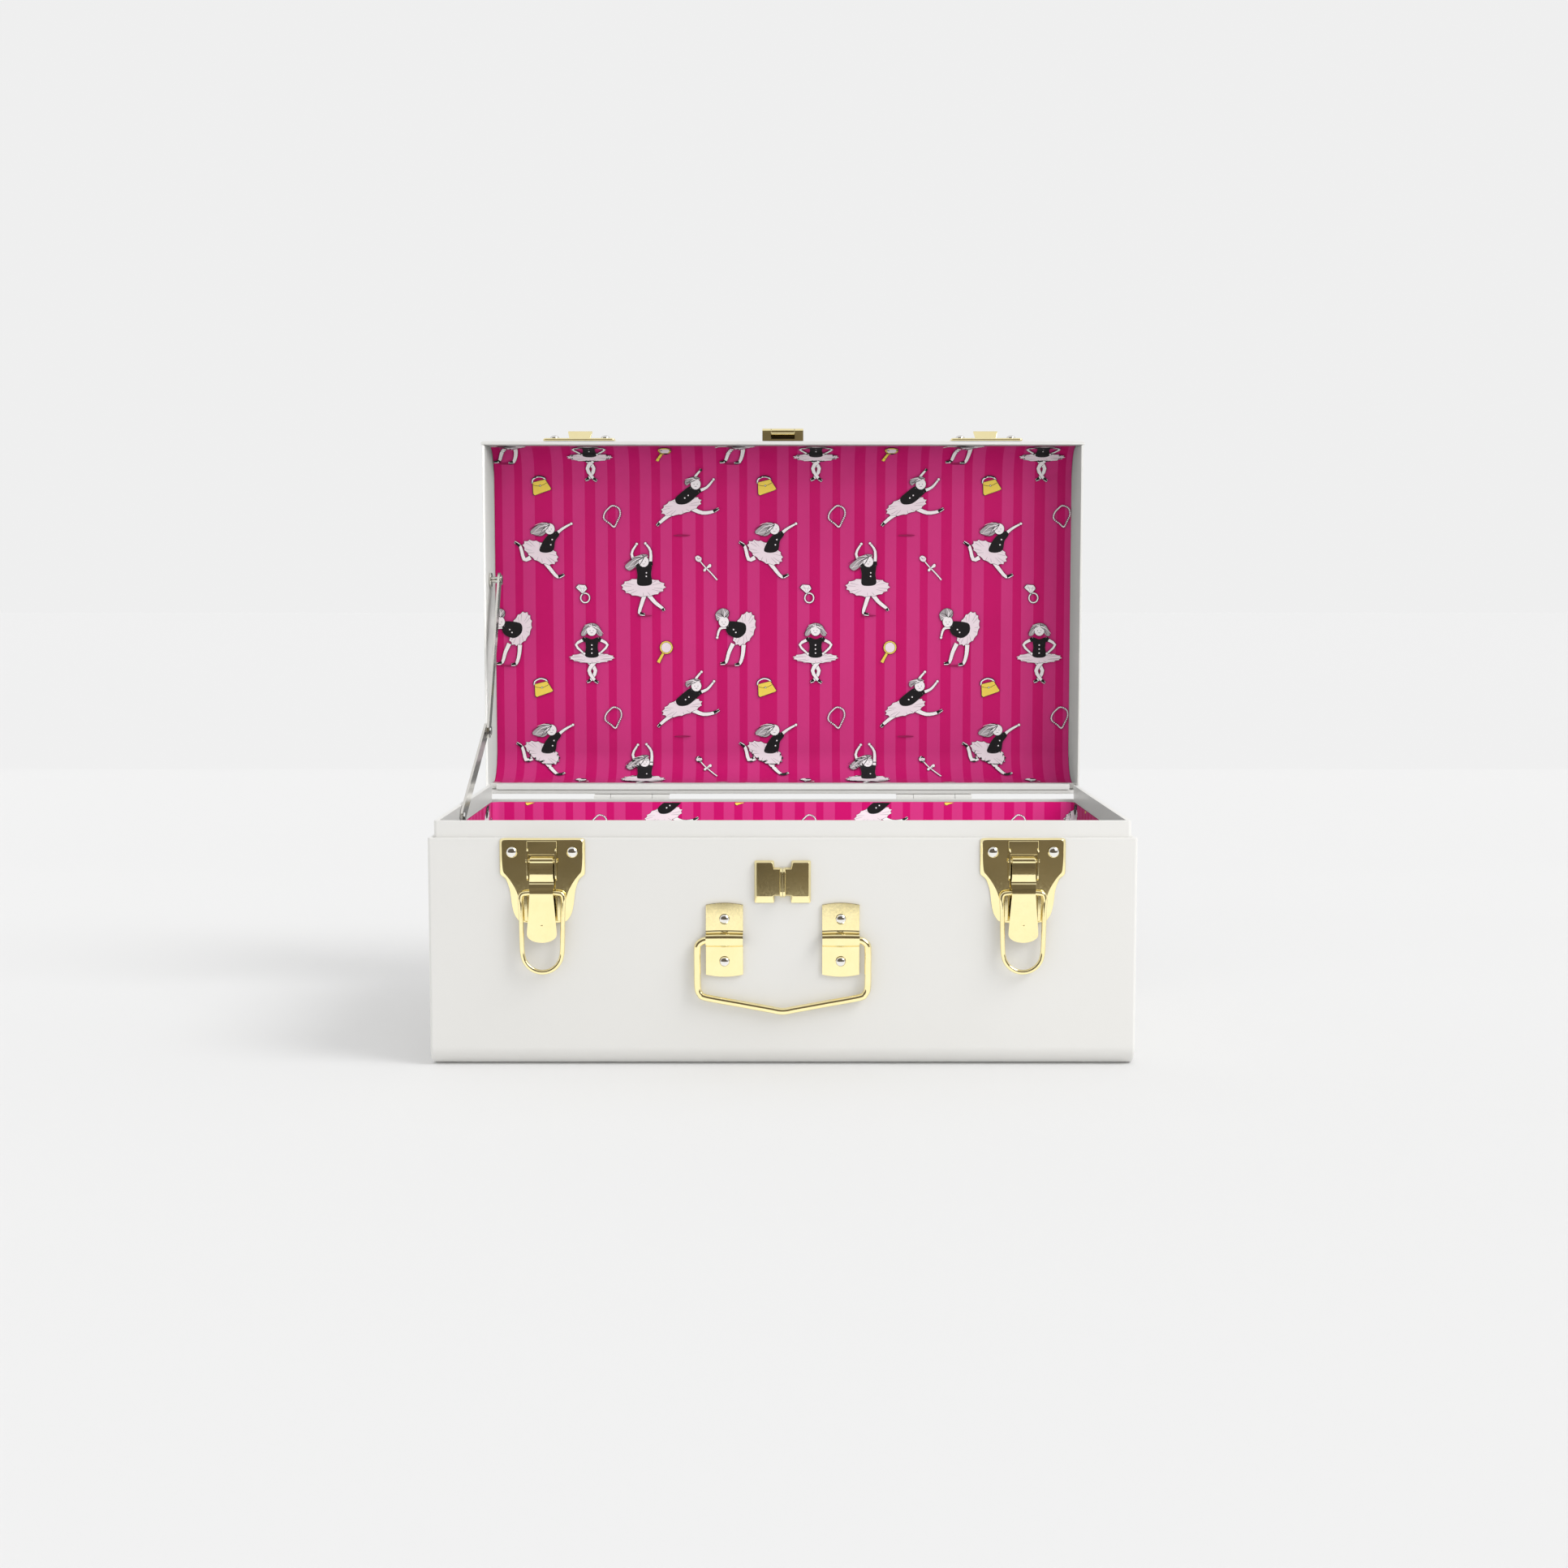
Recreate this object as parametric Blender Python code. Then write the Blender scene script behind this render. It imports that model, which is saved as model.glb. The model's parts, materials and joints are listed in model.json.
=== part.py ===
"""A white sheet-steel keepsake suitcase with its lid standing open, brass latches, hasp and carrying handle.

Metres, +Z up. The origin is the centre of the base's footprint on the surface it stands on, and the front
faces -Y. The lid is drawn closed, about its hinge axis, and its pivot turns it up to the rest pose. Hardware
on a wall is drawn in that wall's own frame: X across, Y into the wall (so -Y stands out) and Z up the wall.
"""

import math

import bmesh
import bpy
from mathutils import Matrix, Vector

MM = 0.001

# Case
WIDTH = 406 * MM
DEPTH = 238 * MM
BASE_HEIGHT = 132 * MM
LID_HEIGHT = 48.5 * MM
BASE_CORNER = 11 * MM
LID_CORNER = 12.4 * MM
SHEET = 1.2 * MM
BASE_RIM = 2.9 * MM
LID_RIM = 2.4 * MM
HEM_DEPTH = 12 * MM
EDGE_ROUND = 2 * MM
END_RECESS = 0.8 * MM
END_SEAT = 2.4 * MM
GAP = 0.3 * MM
CUTTER_EXTRA = 5 * MM

# Collar that the closed lid fits over, and the card lining
COLLAR = 2.9 * MM
COLLAR_RISE = 9.5 * MM
COLLAR_SEAT = 16 * MM
COLLAR_SLANT = 3 * MM
COLLAR_FLARE = 1.3 * MM
COLLAR_FLARE_LENGTH = 5 * MM
LINING_DROP = 1.5 * MM
CARD = 1.4 * MM
FLOOR_CARD = 1.2 * MM
LID_CARD = 0.9 * MM
RAIL_THICKNESS = 3.9 * MM
RAIL_DEPTH = 12 * MM

# Lid hinges
LID_OPEN = math.radians(90)
HINGE_SPACING = 206 * MM
HINGE_LENGTH = 50.7 * MM
KNUCKLE_MIDDLE = 28.1 * MM
KNUCKLE_RADIUS = 2.7 * MM
HINGE_PIN_RADIUS = 1.2 * MM
LEAF = 1.2 * MM
LEAF_LENGTH = 25 * MM
WEB_OVERLAP = 2 * MM

# Draw latches, measured down from the ledge and out from the front wall
LATCH_SPACING = 274.4 * MM
PLATE_WIDTH = 48.6 * MM
PLATE_HEIGHT = 49.6 * MM
PLATE_SHOULDER = 21 * MM
PLATE_FOOT_WIDTH = 28 * MM
PLATE_THICKNESS = 2 * MM
PLATE_BEVEL = 1.4 * MM
PLATE_SKIRT = 3.6 * MM
PLATE_EDGE = 0.6 * MM
STRAP_TOP = 1.4 * MM
STRAP_HEIGHT = 8 * MM
STRAP_PROUD = 2.2 * MM
EAR = 1.1 * MM
EAR_PROUD = 4.2 * MM
EAR_BOTTOM = 24 * MM
LEVER_PIVOT_DOWN = 12.7 * MM
LEVER_PIVOT_OUT = 5 * MM
LEVER_BARREL = 2.1 * MM
LEVER_PIN_RADIUS = 0.9 * MM
LEVER_WIDTH = 13.3 * MM
LEVER_SIDE_GAP = 0.85 * MM
LEVER_SHEET = 1.4 * MM
BAIL_BARREL_WALL = 1.12 * MM
TONGUE_WIDTH = 17 * MM
TONGUE_END = 59.8 * MM
TONGUE_WAIST = 34 * MM
BAIL_PIVOT_DOWN = 31 * MM
BAIL_PIVOT_OUT = 5.6 * MM
BAIL_LENGTH = 45.6 * MM
BAIL_TOP_WIDTH = 24.7 * MM
BAIL_END_WIDTH = 22.2 * MM
BAIL_WIRE = 2.8 * MM
BAIL_CORNER = 4 * MM
LATCH_RIVET_SPACING = 34.4 * MM
LATCH_RIVET_DOWN = 7.9 * MM
LATCH_RIVET_RADIUS = 3.2 * MM

# Strikes on the lid, measured up from the rim
STRIKE_WIDTH = 48.4 * MM
STRIKE_HEIGHT = 20 * MM
STRIKE_UP = 1.5 * MM
STRIKE_THICKNESS = 1.8 * MM
STRIKE_BEVEL = 0.8 * MM
STRIKE_CORNER = 2 * MM
HOOK_UP = 9.3 * MM
HOOK_THICKNESS = 3.3 * MM
HOOK_PROUD = 5.4 * MM
HOOK_BASE_WIDTH = 13.6 * MM
HOOK_LIP_WIDTH = 16.1 * MM
HOOK_TOP_WIDTH = 16.7 * MM
HOOK_LIP = 1.4 * MM

# Padlock hasp
STAPLE_WIDTH = 32.3 * MM
STAPLE_HEIGHT = 24.5 * MM
STAPLE_DOWN = 12.9 * MM
STAPLE_PAD = 12.2 * MM
STAPLE_NOTCH = 4 * MM
STAPLE_PROUD = 3 * MM
STAPLE_BEVEL = 1 * MM
STAPLE_CORNER = 1 * MM
RIB_WIDTH = 3 * MM
RIB_HEIGHT = 16.5 * MM
RIB_PROUD = 8.4 * MM
RIB_EYE_IN = 2.55 * MM
HASP_WIDTH = 27.5 * MM
HASP_PIVOT_UP = 4.2 * MM
HASP_PIVOT_OUT = 6.25 * MM
HASP_BARREL = 2.35 * MM
HASP_PIN_RADIUS = 1 * MM
HASP_KNUCKLE = 15.4 * MM
HASP_LEAF_HEIGHT = 22 * MM
FLAP_LENGTH = 43 * MM
FLAP_SHEET = 1.4 * MM
FLAP_CORNER = 4 * MM
SLOT_CLEARANCE = 0.8 * MM

# Carrying handle
BRACKET_SPACING = 66.6 * MM
BRACKET_WIDTH = 21.3 * MM
BRACKET_TOP = 37.1 * MM
BRACKET_BOTTOM = 79.9 * MM
BRACKET_ARCH = 1.2 * MM
BRACKET_SHEET = 1.6 * MM
HANDLE_DOWN = 58.2 * MM
HANDLE_BARREL = 3.7 * MM
HANDLE_WIRE = 4 * MM
HANDLE_WIDTH = 97.8 * MM
HANDLE_SIDE = 31.4 * MM
HANDLE_DROP = 42.5 * MM
HANDLE_CORNER = 4.5 * MM
HANDLE_GRIP = 8 * MM
HANDLE_RIVET_ABOVE = 11.6 * MM
HANDLE_RIVET_BELOW = 12.8 * MM
HANDLE_RIVET_RADIUS = 3 * MM

# Lid stay, on the left side only. The pivots are measured from the hinge axis.
STAY_LINK_LENGTH = 117.3 * MM
STAY_LINK_WIDTH = 10 * MM
STAY_SHEET = 1.5 * MM
STAY_BASE_REACH = 151.2 * MM
STAY_BASE_RISE = 2.9 * MM
STAY_LID_REACH = 148.2 * MM
STAY_LID_RISE = 19.1 * MM
STAY_RUNNING_GAP = 0.4 * MM
STAY_PIN_RADIUS = 1.6 * MM
STAY_HEAD_RADIUS = 3.4 * MM
STAY_HEAD = 0.8 * MM
STAY_HEAD_TAPER = 0.6 * MM
STAY_PLATE_HEIGHT = 22 * MM
STAY_BOSS_RADIUS = 4 * MM
STAY_CAP_RADIUS = 4.6 * MM

RIVET_DOME = 0.62
RIVET_CROWN = 0.12
RIVET_EDGE = 0.35 * MM
CLEARANCE = 0.3 * MM
ROUND_STEPS = 20
WIRE_SIDES = 3
CORNER_STEPS = 5
MERGE = 1e-6
SMOOTH_ANGLE = math.radians(32)

HINGE_AXIS = Vector((0, DEPTH / 2 + KNUCKLE_RADIUS + GAP, BASE_HEIGHT))
FRONT_WALL = Vector((0, -DEPTH / 2, BASE_HEIGHT))
LID_CENTRE_Y = -HINGE_AXIS.y
COLLAR_OUTER_X = WIDTH / 2 - BASE_RIM - GAP
COLLAR_OUTER_Y = DEPTH / 2 - BASE_RIM - GAP
STRAP_WIDTH = LEVER_WIDTH + 2 * (LEVER_SIDE_GAP + EAR)
STAY_LOWER_X = -COLLAR_OUTER_X + COLLAR + STAY_RUNNING_GAP
STAY_UPPER_X = STAY_LOWER_X + STAY_SHEET + STAY_RUNNING_GAP


def clear_scene():
    for obj in list(bpy.data.objects):
        bpy.data.objects.remove(obj, do_unlink=True)


def make_material(name, colour, roughness, metallic):
    material = bpy.data.materials.new(name)
    material.use_nodes = True
    shader = material.node_tree.nodes["Principled BSDF"]
    shader.inputs["Base Color"].default_value = (*colour, 1)
    shader.inputs["Roughness"].default_value = roughness
    shader.inputs["Metallic"].default_value = metallic
    material.diffuse_color = (*colour, 1)
    return material


def make_materials():
    return {
        "white_paint": make_material("white_paint", (0.86, 0.85, 0.82), 0.35, 0),
        "brass": make_material("brass", (0.83, 0.66, 0.27), 0.12, 1),
        "nickel": make_material("nickel", (0.66, 0.64, 0.60), 0.18, 1),
        "stay_steel": make_material("stay_steel", (0.50, 0.48, 0.44), 0.28, 1),
        "printed_card": make_material("printed_card", (0.74, 0.03, 0.20), 0.55, 0),
    }


# Shapes


def arc(centre, radius, start, end, steps=CORNER_STEPS):
    """Points on an arc from start to end, in degrees."""
    angles = (math.radians(start + (end - start) * step / steps) for step in range(steps + 1))
    return [(centre[0] + radius * math.cos(a), centre[1] + radius * math.sin(a)) for a in angles]


def fillet(before, corner, after, radius, steps=CORNER_STEPS):
    """A curve that rounds the corner of a path, on points of any number of axes."""
    corner = Vector(corner)
    start = corner + (Vector(before) - corner).normalized() * radius
    end = corner + (Vector(after) - corner).normalized() * radius
    shares = [step / steps for step in range(steps + 1)]
    return [start * (1 - t) ** 2 + corner * 2 * t * (1 - t) + end * t**2 for t in shares]


def rectangle(width, low, high, corner=0.0):
    """An outline across X, centred, from low to high."""
    half = width / 2
    if not corner:
        return [(-half, low), (half, low), (half, high), (-half, high)]
    outline = arc((half - corner, low + corner), corner, -90, 0)
    outline += arc((half - corner, high - corner), corner, 0, 90)
    outline += arc((-half + corner, high - corner), corner, 90, 180)
    return outline + arc((-half + corner, low + corner), corner, 180, 270)


def loft(rings):
    """A closed skin through rings of points, with both ends capped."""
    bm = bmesh.new()
    rows = [[bm.verts.new(point) for point in ring] for ring in rings]
    for low, high in zip(rows, rows[1:]):
        for i in range(len(low)):
            j = (i + 1) % len(low)
            bm.faces.new((low[i], low[j], high[j], high[i]))
    bm.faces.new(rows[0])
    bm.faces.new(rows[-1])
    return bm


def along_x(outline, start, end):
    """A prism of a (y, z) outline."""
    return loft([[(x, y, z) for y, z in outline] for x in (start, end)])


def out_from_wall(outline, start, end):
    """A prism of an (x, z) outline that stands from start to end out of the wall."""
    return loft([[(x, -out, z) for x, z in outline] for out in (start, end)])


def turned_x(profile, y=0.0, z=0.0):
    """A solid of revolution about X from (x, radius) pairs, with flats facing along Y and Z."""
    rings = []
    first = 180 / ROUND_STEPS
    for x, radius in profile:
        circle = arc((y, z), radius, first, first + 360 - 360 / ROUND_STEPS, ROUND_STEPS - 1)
        rings.append([(x, *point) for point in circle])
    return loft(rings)


def bar_x(length, radius, y=0.0, z=0.0, centre=0.0):
    """A round bar along X."""
    return turned_x([(centre - length / 2, radius), (centre + length / 2, radius)], y, z)


def rivet_head(radius, seat):
    """A low dome on a wall, standing from seat outwards."""
    rings = [(radius, seat)]
    for step in range(CORNER_STEPS + 1):
        angle = math.radians(90 * step / CORNER_STEPS)
        ring_radius = max(radius * math.cos(angle), radius * RIVET_CROWN)
        out = seat + RIVET_EDGE + radius * RIVET_DOME * math.sin(angle)
        rings.append((ring_radius, out))
    skin = []
    for ring_radius, out in rings:
        circle = arc((0, 0), ring_radius, 0, 360 - 360 / ROUND_STEPS, ROUND_STEPS - 1)
        skin.append([(x, -out, z) for x, z in circle])
    return loft(skin)


# Objects


def add_object(name, bm, parent, place):
    bmesh.ops.recalc_face_normals(bm, faces=bm.faces)
    mesh = bpy.data.meshes.new(name)
    bm.to_mesh(mesh)
    bm.free()
    obj = bpy.data.objects.new(name, mesh)
    bpy.context.scene.collection.objects.link(obj)
    obj.parent = parent
    obj.location = place
    return obj


def add_node(name, bm, material, parent=None, place=(0, 0, 0)):
    obj = add_object(name, bm, parent, place)
    obj.data.materials.append(material)
    obj.data.shade_smooth()
    obj.data.set_sharp_from_angle(angle=SMOOTH_ANGLE)
    return obj


def combine(obj, operation, bm):
    """Joins a helper solid, drawn in the object's own frame, to the object, or cuts it away."""
    helper = add_object(f"{obj.name}_{operation.lower()}_{len(obj.modifiers)}", bm, obj, (0, 0, 0))
    helper.hide_render = True
    helper.display_type = "WIRE"
    modifier = obj.modifiers.new(helper.name, "BOOLEAN")
    modifier.operation = operation
    modifier.solver = "EXACT"
    modifier.object = helper


def join(obj, bm):
    combine(obj, "UNION", bm)


def cut(obj, bm):
    combine(obj, "DIFFERENCE", bm)


def add_pivot(name, place, parent=None, turn=0.0):
    pivot = bpy.data.objects.new(name, None)
    bpy.context.scene.collection.objects.link(pivot)
    pivot.parent = parent
    pivot.location = place
    pivot.rotation_euler = (turn, 0, 0)
    return pivot


# Case


def tray_outline(corner, inset, top):
    """The (y, z) outline of a tray seen from its end, inset all round but at the top."""
    half = DEPTH / 2
    outline = [(-half + inset, top)]
    outline += arc((-half + corner, corner), corner - inset, 180, 270)
    outline += arc((half - corner, corner), corner - inset, 270, 360)
    return outline + [(half - inset, top)]


def case_wrap(name, height, corner, rim, material, parent, place):
    """One sheet that makes the front, the bottom and the rear, with a hemmed rim and rolled end edges."""
    rings = []
    for side in (-1, 1):
        turns = [math.radians(90 * step / 3) for step in range(4)]
        for turn in reversed(turns) if side < 0 else turns:
            x = side * (WIDTH / 2 - EDGE_ROUND * (1 - math.sin(turn)))
            inset = EDGE_ROUND * (1 - math.cos(turn))
            rings.append([(x, y, z) for y, z in tray_outline(corner, inset, height)])
    obj = add_node(name, loft(rings), material, parent, place)
    through = tray_outline(corner, rim, height + CUTTER_EXTRA)
    cut(obj, along_x(through, -WIDTH / 2 - CUTTER_EXTRA, WIDTH / 2 + CUTTER_EXTRA))
    inner = tray_outline(corner, SHEET, height - HEM_DEPTH)
    cut(obj, along_x(inner, -WIDTH / 2 + END_SEAT, WIDTH / 2 - END_SEAT))
    return obj


def case_ends(prefix, height, corner, rim, material, parent, place):
    """The flat end plates, let into the wrap's rolled edges."""
    ends = []
    for side, word in ((-1, "left"), (1, "right")):
        outline = tray_outline(corner, rim + GAP, height)
        outer = side * (WIDTH / 2 - END_RECESS)
        inner = side * (WIDTH / 2 - rim)
        ends.append(add_node(f"{prefix}_{word}", along_x(outline, inner, outer), material, parent, place))
    return ends


def collar_profile(outer):
    """The rolled collar over its thin seat flange, as (distance from the middle, z)."""
    top = BASE_HEIGHT + COLLAR_RISE
    step = BASE_HEIGHT - LINING_DROP
    foot = BASE_HEIGHT - COLLAR_SEAT
    return [
        (outer, foot),
        (outer, top),
        (outer - COLLAR, top),
        (outer - COLLAR, step),
        (outer - SHEET, step),
        (outer - SHEET, foot),
    ]


def collar_front(material):
    outline = [(-y, z) for y, z in collar_profile(COLLAR_OUTER_Y)]
    return add_node("base_collar_front", along_x(outline, -COLLAR_OUTER_X, COLLAR_OUTER_X), material)


def collar_side(word, side, material):
    """A side strip, whose rear end slants and flares inwards a little."""
    top = BASE_HEIGHT + COLLAR_RISE
    start = -COLLAR_OUTER_Y + COLLAR + GAP
    end = COLLAR_OUTER_Y - GAP
    rings = []
    for y, flare, slant in ((start, 0, 0), (end - COLLAR_FLARE_LENGTH, 0, 1), (end, 1, 1)):
        ring = []
        for x, z in collar_profile(COLLAR_OUTER_X):
            on_inner_face = x < COLLAR_OUTER_X - SHEET - MERGE
            shift = COLLAR_FLARE * flare if on_inner_face else 0
            back = COLLAR_SLANT * slant * (top - z) / COLLAR_RISE
            ring.append((side * (x - shift), y - back, z))
        rings.append(ring)
    return add_node(f"base_collar_{word}", loft(rings), material)


def base_lining(material):
    """Five cards: a floor and four walls, the wall cards hanging under the collar."""
    top = BASE_HEIGHT - LINING_DROP - GAP
    foot = SHEET + GAP
    wall_foot = foot + FLOOR_CARD + GAP
    front = -COLLAR_OUTER_Y + COLLAR
    rear = DEPTH / 2 - BASE_RIM - GAP
    side = COLLAR_OUTER_X - COLLAR
    floor_half = DEPTH / 2 - BASE_CORNER + CARD
    floor_top = foot + FLOOR_CARD
    floor = [(-floor_half, foot), (floor_half, foot), (floor_half, floor_top), (-floor_half, floor_top)]
    add_node("base_lining_floor", along_x(floor, -side + GAP, side - GAP), material)
    for name, low, high in (("front", front - CARD, front), ("rear", rear - CARD, rear)):
        card_foot = above_corner(max(-low, high))
        outline = [(low, card_foot), (high, card_foot), (high, top), (low, top)]
        add_node(f"base_lining_{name}", along_x(outline, -side + GAP, side - GAP), material)
    low, high = front + GAP, rear - CARD - GAP
    clip = BASE_CORNER / 2
    outline = [(low, wall_foot + clip), (low + clip, wall_foot), (high - clip, wall_foot)]
    outline += [(high, wall_foot + clip), (high, top), (low, top)]
    add_node("base_lining_left", along_x(outline, -side - CARD, -side), material)
    add_node("base_lining_right", along_x(outline, side, side + CARD), material)


def above_corner(distance):
    """The height at which a card that stands this far from the middle clears the wrap's rounded corner."""
    into_corner = distance - (DEPTH / 2 - BASE_CORNER)
    return BASE_CORNER - math.sqrt((BASE_CORNER - SHEET) ** 2 - into_corner**2) + 2 * GAP


def lid_lining(material, parent):
    """The printed card on the lid's front wall, panel and rear wall, coved where they meet."""
    front = -HINGE_AXIS.y - DEPTH / 2 + LID_RIM
    rear = -(HINGE_AXIS.y - DEPTH / 2) - LID_RIM - GAP - RAIL_THICKNESS
    ceiling = GAP + LID_HEIGHT - SHEET - GAP - LID_CARD
    foot = GAP + HEM_DEPTH + GAP
    cove = LID_CORNER - LID_RIM
    inner = arc((front + cove, ceiling - cove), cove, 180, 90)
    inner += arc((rear - cove, ceiling - cove), cove, 90, 0)
    outer_cove = cove + LID_CARD
    outer = arc((rear - cove, ceiling - cove), outer_cove, 0, 90)
    outer += arc((front + cove, ceiling - cove), outer_cove, 90, 180)
    outline = [(front, foot), *inner, (rear, foot)]
    outline += [(rear + LID_CARD, foot), *outer, (front - LID_CARD, foot)]
    half = WIDTH / 2 - LID_RIM - GAP
    return add_node("lid_lining", along_x(outline, -half, half), material, parent)


def lid_hinge_rail(material, parent):
    """The stiffening rail along the lid's rear rim, which fills the place of a rear collar."""
    rear = -(HINGE_AXIS.y - DEPTH / 2) - LID_RIM - GAP
    front = rear - RAIL_THICKNESS
    outline = [(front, GAP), (rear, GAP), (rear, GAP + RAIL_DEPTH), (front, GAP + RAIL_DEPTH)]
    half = COLLAR_OUTER_X - COLLAR - COLLAR_FLARE - GAP
    return add_node("lid_hinge_rail", along_x(outline, -half, half), material, parent)


def build_case(materials, lid):
    white = materials["white_paint"]
    card = materials["printed_card"]
    case_wrap("base_wrap", BASE_HEIGHT, BASE_CORNER, BASE_RIM, white, None, (0, 0, 0))
    case_ends("base_end", BASE_HEIGHT, BASE_CORNER, BASE_RIM, white, None, (0, 0, 0))
    collar_front(white)
    collar_side("left", -1, white)
    collar_side("right", 1, white)
    base_lining(card)
    top = (0, LID_CENTRE_Y, GAP + LID_HEIGHT)
    wrap = case_wrap("lid_wrap", LID_HEIGHT, LID_CORNER, LID_RIM, white, lid, top)
    ends = case_ends("lid_end", LID_HEIGHT, LID_CORNER, LID_RIM, white, lid, top)
    for piece in (wrap, *ends):
        piece.rotation_euler = (math.pi, 0, 0)
    lid_lining(card, lid)
    lid_hinge_rail(white, lid)


# Hinges


def hinge_leaf(name, knuckles, direction, material, parent, place):
    """A leaf with its own knuckles. direction is 1 up the wall and -1 down it."""
    start = direction * (KNUCKLE_RADIUS + 2 * GAP)
    end = direction * (KNUCKLE_RADIUS + LEAF_LENGTH)
    back = -KNUCKLE_RADIUS
    outline = [(back, start), (back + LEAF, start), (back + LEAF, end), (back, end)]
    leaf = add_node(name, along_x(outline, -HINGE_LENGTH / 2, HINGE_LENGTH / 2), material, parent, place)
    web_end = start + direction * WEB_OVERLAP
    for centre, length in knuckles:
        web = [(back, 0), (back + LEAF, 0), (back + LEAF, web_end), (back, web_end)]
        join(leaf, along_x(web, centre - length / 2, centre + length / 2))
        join(leaf, bar_x(length, KNUCKLE_RADIUS, centre=centre))
    cut(leaf, bar_x(HINGE_LENGTH + 2 * LEAF, HINGE_PIN_RADIUS + CLEARANCE))
    return leaf


def build_hinges(materials, lid):
    white = materials["white_paint"]
    outer_length = (HINGE_LENGTH - KNUCKLE_MIDDLE) / 2 - GAP
    outer_centre = (HINGE_LENGTH - outer_length) / 2
    outer = [(-outer_centre, outer_length), (outer_centre, outer_length)]
    for side, word in ((-1, "left"), (1, "right")):
        x = side * HINGE_SPACING / 2
        place = HINGE_AXIS + Vector((x, 0, 0))
        hinge_leaf(f"hinge_{word}_base_leaf", outer, -1, white, None, place)
        hinge_leaf(f"hinge_{word}_lid_leaf", [(0, KNUCKLE_MIDDLE)], 1, white, lid, (x, 0, 0))
        tip = HINGE_LENGTH / 2
        ends = [(-tip - GAP, HINGE_PIN_RADIUS / 2), (-tip, HINGE_PIN_RADIUS)]
        profile = ends + [(-px, radius) for px, radius in reversed(ends)]
        add_node(f"hinge_{word}_pin", turned_x(profile), white, None, place)


# Draw latches


def plate_outline(width, foot_width, shoulder, height, steps=8):
    """A plate with straight sides over an S-shaped taper, as (x, z) below its top edge."""
    right = [(width / 2, 0)]
    for step in range(steps + 1):
        share = step / steps
        ease = share * share * (3 - 2 * share)
        x = width / 2 + (foot_width - width) / 2 * ease
        right.append((x, -shoulder - (height - shoulder) * share))
    return right + [(-x, z) for x, z in reversed(right)]


def latch_plate(name, material, place):
    """The dished plate, with the strap over its slot and the two ears that carry the lever's pin."""
    seat = GAP
    face = GAP + PLATE_THICKNESS
    wall_outline = plate_outline(PLATE_WIDTH, PLATE_FOOT_WIDTH, PLATE_SHOULDER, PLATE_HEIGHT)
    face_outline = [
        (x, z - PLATE_BEVEL / 2)
        for x, z in plate_outline(
            PLATE_WIDTH - 2 * PLATE_BEVEL,
            PLATE_FOOT_WIDTH - 2 * PLATE_SKIRT,
            PLATE_SHOULDER - PLATE_BEVEL,
            PLATE_HEIGHT - PLATE_SKIRT,
        )
    ]
    rings = [
        [(x, -seat, z) for x, z in wall_outline],
        [(x, -seat - PLATE_EDGE, z) for x, z in wall_outline],
        [(x, -face, z) for x, z in face_outline],
    ]
    plate = add_node(name, loft(rings), material, None, place)
    sunk = face - PLATE_EDGE
    strap = rectangle(STRAP_WIDTH, -STRAP_TOP - STRAP_HEIGHT, -STRAP_TOP)
    join(plate, out_from_wall(strap, sunk, face + STRAP_PROUD))
    for side in (-1, 1):
        centre = side * (STRAP_WIDTH - EAR) / 2
        ear = rectangle(EAR, -EAR_BOTTOM, -STRAP_TOP - STRAP_HEIGHT / 2)
        ear = [(centre + x, z) for x, z in ear]
        join(plate, out_from_wall(ear, sunk, face + EAR_PROUD))
    hole = LEVER_PIN_RADIUS + CLEARANCE
    cut(plate, bar_x(STRAP_WIDTH + EAR, hole, -LEVER_PIVOT_OUT, -LEVER_PIVOT_DOWN))
    return plate


def latch_lever(name, material, parent):
    """The lever, drawn about its own pin: pin barrel, web, barrel for the bail and a wide tongue."""
    bail_y = LEVER_PIVOT_OUT - BAIL_PIVOT_OUT
    bail_z = LEVER_PIVOT_DOWN - BAIL_PIVOT_DOWN
    bail_barrel = BAIL_WIRE / 2 + CLEARANCE + BAIL_BARREL_WALL
    lever = add_node(name, bar_x(LEVER_WIDTH, LEVER_BARREL), material, parent)
    web = [
        (-LEVER_BARREL, 0),
        (-LEVER_BARREL + LEVER_SHEET, 0),
        (bail_y - bail_barrel + LEVER_SHEET, bail_z),
        (bail_y - bail_barrel, bail_z),
    ]
    join(lever, along_x(web, -LEVER_WIDTH / 2, LEVER_WIDTH / 2))
    join(lever, bar_x(LEVER_WIDTH, bail_barrel, bail_y, bail_z))
    waist = LEVER_PIVOT_DOWN - TONGUE_WAIST
    end = LEVER_PIVOT_DOWN - TONGUE_END
    half = TONGUE_WIDTH / 2
    narrow = LEVER_WIDTH / 2
    tongue = [(narrow, bail_z), (narrow, waist), (half, end + half)]
    tongue += arc((0, end + half), half, 0, -180, 2 * CORNER_STEPS)[1:-1]
    tongue += [(-half, end + half), (-narrow, waist), (-narrow, bail_z)]
    front = -bail_y + bail_barrel
    join(lever, out_from_wall(tongue, front - LEVER_SHEET, front))
    cut(lever, bar_x(LEVER_WIDTH * 2, LEVER_PIN_RADIUS + CLEARANCE))
    cut(lever, bar_x(LEVER_WIDTH * 2, BAIL_WIRE / 2 + CLEARANCE, bail_y, bail_z))
    return lever


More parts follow.
